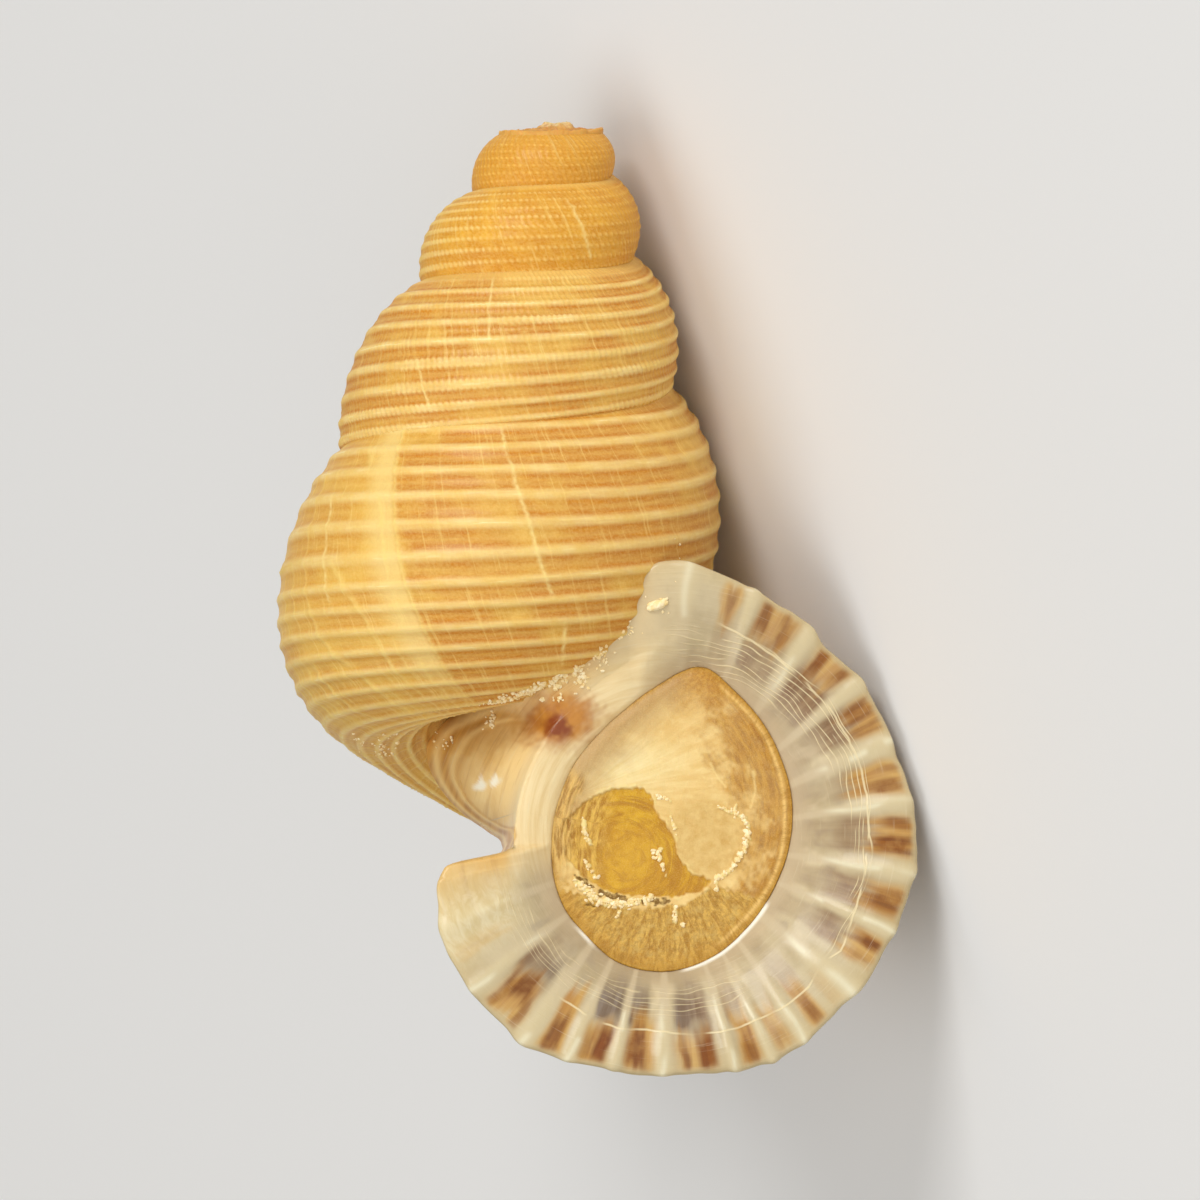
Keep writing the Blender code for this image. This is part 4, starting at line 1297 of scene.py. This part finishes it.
# %% Horn of the operculum
def operculum_horn():
    f = Finish("operculum_horn")
    across, up, rim_mm = f.layer("across"), f.layer("up"), f.layer("rim_mm")
    flat = f.place(across, up)
    fibre = f.noise(1.0, 4.0, 0.65, f.place(f.layer("angle"), rim_mm, 0.08, 8.0), 0.3)
    comb = f.noise(1.0, 4.0, 0.65, f.place(f.layer("angle"), rim_mm, 0.42, 2.4), 0.8)
    fan = f.noise(1.0, 4.0, 0.55, f.place(f.layer("fan"), f.layer("fan_reach"), 7.0, 0.9), 0.3)
    cloud = f.noise(1.1, 4.0, 0.55, flat)
    patch = f.noise(3.4, 4.0, 0.6, flat)
    mottle = f.noise(9.0, 4.0, 0.65, flat)
    grain = f.noise(32.0, 3.0, 0.7, flat)

    cover = f.shade(fan, 0.25, 0.75, (222, 180, 104), (236, 204, 134))
    # Painted highlight: a soft cream patch on the cover, upper left of the middle, streaked with its
    # fibres.
    cover = f.lay(cover, "painted_cover_highlight", 0.8, f.shade(fan, 0.25, 0.75, (242, 220, 154), (248, 231, 176)))
    cover = f.dust(cover, patch, 0.50, 0.70, 0.30, (244, 218, 154))
    cover = f.lay(cover, "tan", 0.85, f.shade(patch, 0.3, 0.7, (206, 164, 88), (222, 188, 118)))
    gold = f.shade(fibre, 0.32, 0.66, (148, 90, 2), (194, 140, 42))
    gold = f.dust(gold, mottle, 0.50, 0.70, 0.4, (196, 138, 28))
    gold = f.dust(gold, patch, 0.45, 0.65, 0.5, (184, 124, 28))
    cover = f.lay(cover, "golden", 0.95, gold)
    cover = f.lay(cover, "top_shade", 0.85, f.shade(mottle, 0.35, 0.65, (172, 112, 22), (198, 144, 52)))
    cover = f.lay(cover, "left_shade", 0.75, (176, 136, 84))
    amber = f.shade(cloud, 0.35, 0.65, (196, 140, 2), (214, 164, 24))
    amber = f.dust(amber, patch, 0.42, 0.66, 0.45, (176, 118, 6))
    amber = f.dust(amber, mottle, 0.52, 0.70, 0.40, (224, 178, 58))
    ringed = f.noise(1.0, 3.0, 0.6, f.place(f.layer("ring"), f.layer("spin"), 4.2, 0.9), 0.8)
    amber = f.dust(amber, ringed, 0.45, 0.62, 0.65, (166, 106, 4))
    amber = f.lay(amber, "heart", 0.45, (224, 174, 54))
    amber = f.lay(amber, "old_rings", 0.75, f.shade(fibre, 0.35, 0.65, (160, 104, 20), (234, 192, 92)))
    colour = f.mix(f.layer("bare"), cover, amber)
    gritty = f.shade(comb, 0.34, 0.66, (172, 122, 30), (218, 174, 80))
    gritty = f.dust(gritty, mottle, 0.40, 0.68, 0.60, (152, 108, 34))
    gritty = f.dust(gritty, patch, 0.48, 0.68, 0.45, (212, 180, 104))
    colour = f.mix(f.layer("low"), colour, gritty)
    horn = f.shade(comb, 0.30, 0.70, (172, 120, 28), (206, 156, 60))
    colour = f.lay(colour, "hem", 0.9, horn)
    twisted = f.shade(fibre, 0.38, 0.60, (156, 106, 26), (222, 180, 98))
    colour = f.lay(colour, "left_fibre", 0.85, twisted)
    lit_rim = f.times(f.layer("bright_rim"), f.window(comb, 0.35, 0.6, 0.4, 1.0))
    colour = f.mix(lit_rim, colour, (242, 200, 118))
    colour = f.dust(colour, grain, 0.42, 0.68, 0.14, (252, 228, 158))
    colour = f.lay(colour, "vein", 0.45, (248, 222, 150))
    colour = f.lay(colour, "crust", 0.9, (244, 222, 150))
    split = f.window(mottle, 0.36, 0.56, 0.55, 0.95)
    colour = f.mix(f.times(f.layer("crack"), split), colour, (118, 82, 10))
    rough = f.window(patch, 0.3, 0.7, 0.34, 0.50)
    height = f.math("ADD", f.times(grain, 0.6), f.times(mottle, 0.6))
    height = f.math("ADD", height, f.times(fibre, f.layer("left_fibre")))
    return f.finish(
        colour, rough, height, 0.45, 0.00006,
        Subsurface_Weight=0.15, Subsurface_Radius=(1.0, 0.7, 0.4), Subsurface_Scale=0.0002,
        Coat_Weight=0.08, Coat_Roughness=0.2, Specular_IOR_Level=0.24,
    )


amber_horn = operculum_horn()
print(amber_horn.name, "has", len(amber_horn.node_tree.nodes), "nodes")


# %% [markdown]
# ## Relief of the operculum
# The cover stands a little above the bare patch, the crack is a shallow groove, and rows of crumbs
# build a low ridge. The borders are roughened with random patches, because crust that has flaked
# off never breaks smooth.

# %% Zones of the plate
def plate_zones(across, up, rim_mm, turned, bare, coarse, fine):
    """Where each colour of the plate lies."""
    left_fibre = smooth_step((0.62 - rim_mm + 0.4 * coarse) / 0.3)
    left_fibre = left_fibre * smooth_step((np.abs(turned) - 150.0) / 9.0)
    right = smooth_step((74.0 - np.abs(turned - 12.0)) / 10.0)
    golden = smooth_step((1.10 - rim_mm + 1.1 * coarse + 0.4 * fine) / 1.0) * right
    upper = across + up * 0.42 - 1.40 + 1.6 * coarse + 0.5 * fine
    golden = np.maximum(golden, 0.85 * smooth_step(upper / 1.3))
    low_line = -1.86 + 0.10 * np.sin(across * 2.0) + 0.62 * climb(across, 0.5, 0.9) + 0.14 * fine
    hem = smooth_step((0.46 - rim_mm + 0.35 * fine) / 0.30)
    hem = hem * smooth_step((-np.sin(np.radians(turned)) - 0.35) / 0.3)
    thin_hem = 0.9 * fall(rim_mm, 0.14, 0.10) * fall(turned, 118.0, 8.0)
    bright_rim = bump_at(rim_mm, 0.17 + 0.03 * np.sin(np.radians(turned * 5)), 0.055)
    bright_rim = bright_rim * fall(turned, 80.0, 8.0) * climb(turned, -70.0, 20.0)
    left_shade = smooth_step((1.35 - rim_mm + 0.5 * coarse) / 1.2) * climb(turned, 84.0, 12.0)
    # Painted highlight on the cover, upper left of the middle.
    cover_highlight_off = np.hypot((across + 1.0 + 0.2 * up) / 1.5, (up - 1.75 - 0.25 * across) / 0.75)
    heart_x, heart_y = across - NUCLEUS[0], up - NUCLEUS[1]
    fan_x, fan_y = across - FAN_ROOT[0], up - FAN_ROOT[1]
    return {
        "left_fibre": left_fibre,
        "golden": golden,
        "low": climb(low_line, up, 0.10) * (1.0 - bare),
        "hem": np.maximum(hem, thin_hem),
        "bright_rim": bright_rim,
        "top_shade": smooth_step((1.75 + 0.5 * coarse - np.hypot((across - 0.55) * 0.9, up - 4.15)) / 1.5),
        "left_shade": left_shade,
        "painted_cover_highlight": bump_at(cover_highlight_off, 0.0, 1.0),
        "tan": smooth_step((1.35 - np.hypot((across - 0.95) / 0.95, up + 0.10)) / 0.7),
        "heart": bump_at(np.hypot(heart_x, heart_y), 0.0, 0.75),
        "old_rings": bare * smooth_step((-across - 1.35 + 0.3 * coarse) / 0.45),
        "ring": np.hypot(heart_x, heart_y),
        "spin": np.abs(np.arctan2(heart_y, heart_x)),
        "fan": np.arctan2(fan_y, fan_x) * 2.2,
        "fan_reach": np.hypot(fan_x, fan_y),
    }


# %% Cracks and loose crust
def plate_cracks(across, up):
    """The ragged crack below the nucleus, and the short one under it."""
    width = 0.055 + 0.22 * (patchy(across / 0.10, up / 0.08, 35) - 0.45)
    crack = smooth_step((width - line_distance(CRACK, across, up)) / 0.03)
    width = 0.020 + 0.22 * (patchy(across / 0.09, up / 0.10, 36) - 0.5)
    return np.maximum(crack, smooth_step((width - line_distance(LOWER_CRACK, across, up)) / 0.03))


def plate_crust(across, up, inside, fine, left_fibre, crack):
    """Where loose crust sticks: along the rows of crumbs and the border of the bare patch."""
    crust = np.zeros_like(across)
    for places, spread, _, _ in CRUMB_ROWS:
        away = line_distance(np.array(places), across, up)
        crust = np.maximum(crust, smooth_step((spread * 0.9 + 0.12 * fine - away) / 0.03))
    border = bump_at(inside, -0.04, 0.05) * smooth_step((patchy(across / 0.2, up / 0.2, 34) - 0.45) / 0.2)
    return np.maximum(crust, 0.5 * border * (1.0 - left_fibre)) * (1.0 - crack)


# %% Relief of the operculum
def operculum_relief(across, up, radius, edge, degrees):
    """Height in millimetres over the plate, and the layers for its finish."""
    turned = wrap_degrees(degrees)
    rim_mm = edge - radius
    fine = patchy(across / 0.09, up / 0.09, 31) - 0.5
    leaning = across * 0.8 + up * 0.6
    coarse = 0.65 * patchy(leaning / 0.36, (up * 0.8 - across * 0.6) / 0.36, 32)
    coarse = coarse + 0.35 * patchy(up / 0.15, leaning / 0.15, 48) - 0.5
    inside = depth_inside(BARE_PATCH, across, up) + 0.10 * coarse + 0.07 * fine
    bare = climb(inside, -0.03, 0.06)
    zones = plate_zones(across, up, rim_mm, turned, bare, coarse, fine)
    left_fibre = zones["left_fibre"]
    crack = plate_cracks(across, up)
    crust = plate_crust(across, up, inside, fine, left_fibre, crack)
    vein_off = np.minimum(line_distance(VEINS[0], across, up), line_distance(VEINS[1], across, up))
    height = -0.10 * (1.0 - (radius / edge) ** 2)
    height = height + COVER_HEIGHT * (1.0 - bare) * climb(rim_mm, 0.05, 0.25)
    height = height + 0.030 * crust - 0.025 * crack
    fibre_phase = math.tau * rim_mm / 0.12 + 3.0 * patchy(degrees / 6.0, 0.5, 37)
    height = height + 0.014 * np.cos(fibre_phase) * left_fibre
    height = height + 0.010 * fine + 0.030 * coarse * (1.0 - 0.6 * bare)
    height = height + 0.012 * zones["low"] * (patchy(across / 0.05, up / 0.05, 38) - 0.5)
    return height, {
        **zones, "bare": bare, "crack": crack, "crust": crust,
        "vein": smooth_step((0.045 + 0.05 * fine - vein_off) / 0.03),
        "rim_mm": rim_mm, "angle": turned, "across": across, "up": up,
    }


# %% The operculum's plate
PLATE_COLUMNS = 540
PLATE_ROWS = 110
PLATE_SPILL = 0.015         # millimetres that it reaches past the mouth's edge, so no gap shows
PLATE_UNDER = np.array((    # its underside and rim: share of its reach, how far out
    (0.02, -0.45), (0.5, -0.45), (0.93, -0.44), (0.985, -0.38), (1.0, -0.28), (1.0, -0.08),
))


def make_operculum():
    degrees = np.linspace(0.0, 360.0, PLATE_COLUMNS + 1)[None, :]
    edge = mouth_radius(degrees) + PLATE_SPILL
    face = np.concatenate(((0.998, 0.99, 0.975), np.linspace(0.955, 0.01, PLATE_ROWS)))
    share = np.concatenate((PLATE_UNDER[:, 0], face))[:, None] * np.ones_like(degrees)
    radius = edge * share
    across = radius * np.cos(np.radians(degrees))
    up = radius * np.sin(np.radians(degrees))
    height, layers = operculum_relief(across, up, radius, edge, degrees)
    is_face = (np.arange(len(share)) >= len(PLATE_UNDER))[:, None]
    rounded = 0.035 * climb(share, 0.965, 0.035)
    under = np.concatenate((PLATE_UNDER[:, 1], face * 0))[:, None]
    out = np.where(is_face, height - rounded, under)
    points = mouth_place(across, up, out - 0.02)
    points[:, -1] = points[:, 0]
    plate = new_sheet("operculum_plate", points, layers, amber_horn)
    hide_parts("operculum")
    return plate


operculum_plate = make_operculum()


# %% [markdown]
# ## Crumbs along the callus
# Dried lime crumbs cling to the line where the callus meets the body whorl, a few more to the cords
# at the base, and others to the operculum. Each crumb is a small ball of bmesh, squashed and dented
# at random. Its place is told by the wall's two numbers or in the mouth's own axes, and a ray cast
# inward finds the finished surface there.

# %% Finding the surface
LOOK_FROM = 0.75        # millimetres outside the place that is asked for
shell_trees = []
for sheet in [*whorls, lip, operculum_plate]:
    shell_trees.append(BVHTree.FromPolygons(
        [vert.co.copy() for vert in sheet.data.vertices],
        [tuple(face.vertices) for face in sheet.data.polygons],
    ))


def surface_at(point, outward):
    """The first surface met on the way in to an upright point from a little outside it."""
    start = Vector(lay_down(point + outward * LOOK_FROM))
    toward = Vector(-(REST @ outward))
    nearest = None
    for tree in shell_trees:
        place, _, _, away = tree.ray_cast(start, toward, 2.0 * LOOK_FROM * MM)
        if place is not None and (nearest is None or away < nearest[1]):
            nearest = (place, away)
    if nearest is None:
        return None
    return np.array(nearest[0]) / MM @ REST - ORIGIN


def wall_spot(turn, degree):
    """A point of the smooth wall and its outward direction."""
    ring = tube_wall(np.array((turn, turn)), np.radians((degree, 0.0, 180.0)))[0]
    outward = ring[0] - (ring[1] + ring[2]) / 2
    return ring[0], outward / np.linalg.norm(outward)


# %% Where the crumbs lie
CRUMB_LINE = (      # turn, degree, spread in mm, how many crumbs, their size in mm
    (-0.400, 4.0, 0.08, 3, 0.035), (-0.385, -8.0, 0.07, 5, 0.040), (-0.374, -16.0, 0.06, 8, 0.040),
    (-0.362, -30.0, 0.05, 12, 0.042), (-0.345, -43.0, 0.05, 30, 0.052), (-0.330, -52.0, 0.05, 44, 0.058),
    (-0.312, -58.0, 0.05, 56, 0.062), (-0.297, -63.0, 0.06, 60, 0.062), (-0.283, -67.0, 0.07, 60, 0.060),
    (-0.268, -71.0, 0.08, 44, 0.056), (-0.250, -74.0, 0.05, 20, 0.046), (-0.011, -90.0, 0.25, 16, 0.050),
    (-0.050, -92.0, 0.20, 10, 0.045), (0.020, -95.0, 0.25, 14, 0.050), (0.024, -123.0, 0.20, 8, 0.045),
    (0.083, -131.0, 0.20, 8, 0.050),
)
TURN_JITTER = 0.004         # how far a crumb strays along the tube, in turns, and round it, in degrees
DEGREE_JITTER = 2.0
CHIP_PLACE = (-0.90, 5.46, 0.6)     # the one big chip on the lip: across, up and out
CHIP_SIZE = 0.17
CALLUS_CRUMBS = (   # places across and up, how far out, spread, how many, their size in mm
    (((-4.80, 2.45), (-4.40, 2.62), (-3.95, 2.77)), -2.7, 0.09, 70, 0.055),
    (((-5.90, 1.90), (-5.55, 2.02)), -3.9, 0.08, 16, 0.045),
)


print(sum(row[3] for row in CRUMB_LINE), "crumbs are tried along the callus and on the base")


# %% Making crumbs
def add_crumb(bm, centre, size, draw):
    """One dented, squashed ball."""
    made = bmesh.ops.create_icosphere(bm, subdivisions=1, radius=size)["verts"]
    stretch = Vector(draw.uniform(0.55, 1.35, 3))
    turn = Matrix.Rotation(draw.uniform(0.0, math.tau), 3, Vector(draw.normal(size=3)).normalized())
    for vert in made:
        vert.co = vert.co * draw.uniform(0.65, 1.20)
    bmesh.ops.scale(bm, vec=stretch, verts=made)
    bmesh.ops.rotate(bm, verts=made, cent=(0, 0, 0), matrix=turn)
    bmesh.ops.translate(bm, verts=made, vec=Vector(centre))


def along_row(places, out, spread, count, draw):
    """Random spots of the finished surface along a chain of places in the mouth's own axes."""
    spots = []
    for _ in range(count):
        at = draw.uniform(0.0, len(places) - 1.001)
        start = int(at)
        spot = places[start] + (at - start) * (places[start + 1] - places[start])
        spot = spot + draw.normal(size=2) * spread
        spots.append(surface_at(mouth_place(spot[0], spot[1], np.array(out)), OUT))
    return [spot for spot in spots if spot is not None]


def crumb_lime():
    f = Finish("dried_lime")
    grain = f.noise(6000.0, 4.0, 0.7)
    patch = f.noise(1500.0, 3.0, 0.6)
    colour = f.shade(grain, 0.35, 0.65, (246, 218, 152), (255, 240, 200))
    colour = f.dust(colour, patch, 0.60, 0.80, 0.3, (222, 172, 92))
    return f.finish(colour, 0.5, grain, 0.5, 0.00003, Specular_IOR_Level=0.15)


def own_piece(name, bm, material, node):
    """A finished bmesh in upright millimetres becomes a piece lying on the floor."""
    bmesh.ops.recalc_face_normals(bm, faces=bm.faces)
    for vert in bm.verts:
        vert.co = Vector(lay_down(np.array(vert.co)))
    mesh = bpy.data.meshes.new(name)
    bm.to_mesh(mesh)
    bm.free()
    mesh.materials.append(material)
    obj = bpy.data.objects.new(name, mesh)
    bpy.context.scene.collection.objects.link(obj)
    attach(obj, "root")
    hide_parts(node)
    print(name, len(mesh.polygons), "faces")


# %% Scattering the crumbs
dried_lime = crumb_lime()
print(dried_lime.name, "has", len(dried_lime.node_tree.nodes), "nodes")
crumb_draw = np.random.default_rng(7)
crumbs = bmesh.new()
for turn, degree, spread, count, size in CRUMB_LINE:
    for _ in range(count):
        crumb_turn = turn + crumb_draw.normal() * TURN_JITTER
        point, outward = wall_spot(crumb_turn, degree + crumb_draw.normal() * DEGREE_JITTER)
        spot = surface_at(point + crumb_draw.normal(size=3) * spread, outward)
        if spot is not None:
            add_crumb(crumbs, spot, size * crumb_draw.uniform(0.4, 1.35), crumb_draw)
for places, out, spread, count, size in CALLUS_CRUMBS:
    for point in along_row(np.array(places), out, spread, count, crumb_draw):
        add_crumb(crumbs, point, size * crumb_draw.uniform(0.4, 1.3), crumb_draw)
chip_spot = surface_at(mouth_place(*np.array(CHIP_PLACE)), OUT)
chip = bmesh.ops.create_icosphere(crumbs, subdivisions=3, radius=CHIP_SIZE)["verts"]
for vert in chip:
    vert.co = vert.co * (0.8 + 0.5 * patchy(vert.co.x / 0.07, vert.co.z / 0.07, 47))
bmesh.ops.scale(crumbs, vec=(1.7, 0.6, 0.75), verts=chip)
bmesh.ops.rotate(crumbs, verts=chip, cent=(0, 0, 0), matrix=Matrix.Rotation(-0.5, 3, "Y"))
bmesh.ops.translate(crumbs, verts=chip, vec=Vector(chip_spot))
own_piece("lime_crumbs", crumbs, dried_lime, "shell")

plate_crumbs = bmesh.new()
for places, spread, count, size in CRUMB_ROWS:
    for point in along_row(np.array(places), 0.0, spread * 0.6, count, crumb_draw):
        add_crumb(plate_crumbs, point, size * crumb_draw.uniform(0.45, 1.2), crumb_draw)
own_piece("operculum_crumbs", plate_crumbs, dried_lime, "operculum")


# %% [markdown]
# ## The broken top and its plug
# The first whorls have broken off, and the snail closed the hole behind them with a rough plug of
# lime. The break is a round sheet that stands a little above the flat cut: a torn rim at the wall,
# a shallow ring inside it, and the low plug in the middle. A ray from outside finds where the wall
# stands all round.

# %% The broken rim
WALL_LOOK = 4.0         # millimetres from the axis, well outside the early whorls
RIM_REACH = 1.3         # about how far from the axis the broken rim stands
RIM_SHARES = (0.90, 0.96, 0.995, 1.0, 0.985, 0.95)      # the sheet's outer rows, as shares of that reach
RIM_DEPTHS = np.array((0.45, 0.40, 0.25))               # how far below the cut the first of them lie


def wall_reach(azimuth, height):
    """How far from the axis the early whorls' wall stands at this height."""
    outward = np.array((math.cos(azimuth), math.sin(azimuth), 0.0))
    start = Vector(lay_down(outward * WALL_LOOK + np.array((0.0, 0.0, height))))
    _, _, _, away = shell_trees[0].ray_cast(start, Vector(-(REST @ outward)), 5.0 * WALL_LOOK * MM)
    return WALL_LOOK - away / MM


# %% Lime of the break
def top_lime():
    f = Finish("torn_lime")
    grain = f.noise(5200.0, 5.0, 0.7)
    patch = f.noise(1300.0, 4.0, 0.65)
    colour = f.shade(patch, 0.35, 0.65, (196, 128, 46), (226, 166, 74))
    colour = f.lay(colour, "edge", 0.6, (234, 176, 82))
    chalk = f.shade(grain, 0.35, 0.65, (214, 168, 96), (246, 222, 164))
    colour = f.lay(colour, "plug", 0.85, chalk)
    return f.finish(colour, 0.5, grain, 0.6, 0.00005, Subsurface_Weight=0.2, Subsurface_Scale=0.0004)


chalky_lime = top_lime()
print(chalky_lime.name, "has", len(chalky_lime.node_tree.nodes), "nodes")


# %% The broken top
def make_top():
    azimuths = np.linspace(0.0, math.tau, 181)
    (_, _, break_height), (lean, _, rise) = BREAK
    slope = lean / rise
    level = break_height - slope * RIM_REACH * np.cos(azimuths)
    reach = np.array([wall_reach(azimuth, height - 0.05) for azimuth, height in zip(azimuths, level)])
    reach[-1] = reach[0]
    shares = np.concatenate((RIM_SHARES, np.linspace(0.90, 0.02, 26)))[:, None]
    radius = shares * reach[None, :]
    across = radius * np.cos(azimuths)
    away = radius * np.sin(azimuths)
    face = (np.arange(len(shares)) >= len(RIM_DEPTHS))[:, None]
    tear = 0.09 * (patchy(azimuths * 5.0, 0.5, 41, 31)[None, :] - 0.6)
    tear = tear + 0.035 * (patchy(azimuths * 19.0, 0.5, 42)[None, :] - 0.5)
    tear[:, -1] = tear[:, 0]
    edge = climb(shares, 0.80, 0.12)
    moat = 0.10 * bump_at(shares, 0.78, 0.13)
    plug = 0.16 * smooth_step((0.62 - np.hypot(across - 0.05, away)) / 0.35)
    rough = 0.09 * (patchy(across / 0.13, away / 0.13, 43) - 0.5)
    rough = rough + 0.05 * (patchy(across / 0.05, away / 0.05, 44) - 0.5)
    lift = 0.065 + tear * edge - 0.3 * moat + plug + rough * (1.0 - 0.6 * edge)
    lift = np.maximum(lift, 0.012)
    height = break_height - slope * across
    under = np.zeros_like(height)
    under[:len(RIM_DEPTHS)] = RIM_DEPTHS[:, None]
    height = height + np.where(face, lift, -under)
    points = np.stack((across, away, height), axis=2)
    layers = {"plug": climb(plug, 0.05, 0.12), "edge": edge * np.ones_like(radius)}
    return new_sheet("broken_top", points, layers, chalky_lime)


broken_top = make_top()
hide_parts("shell")
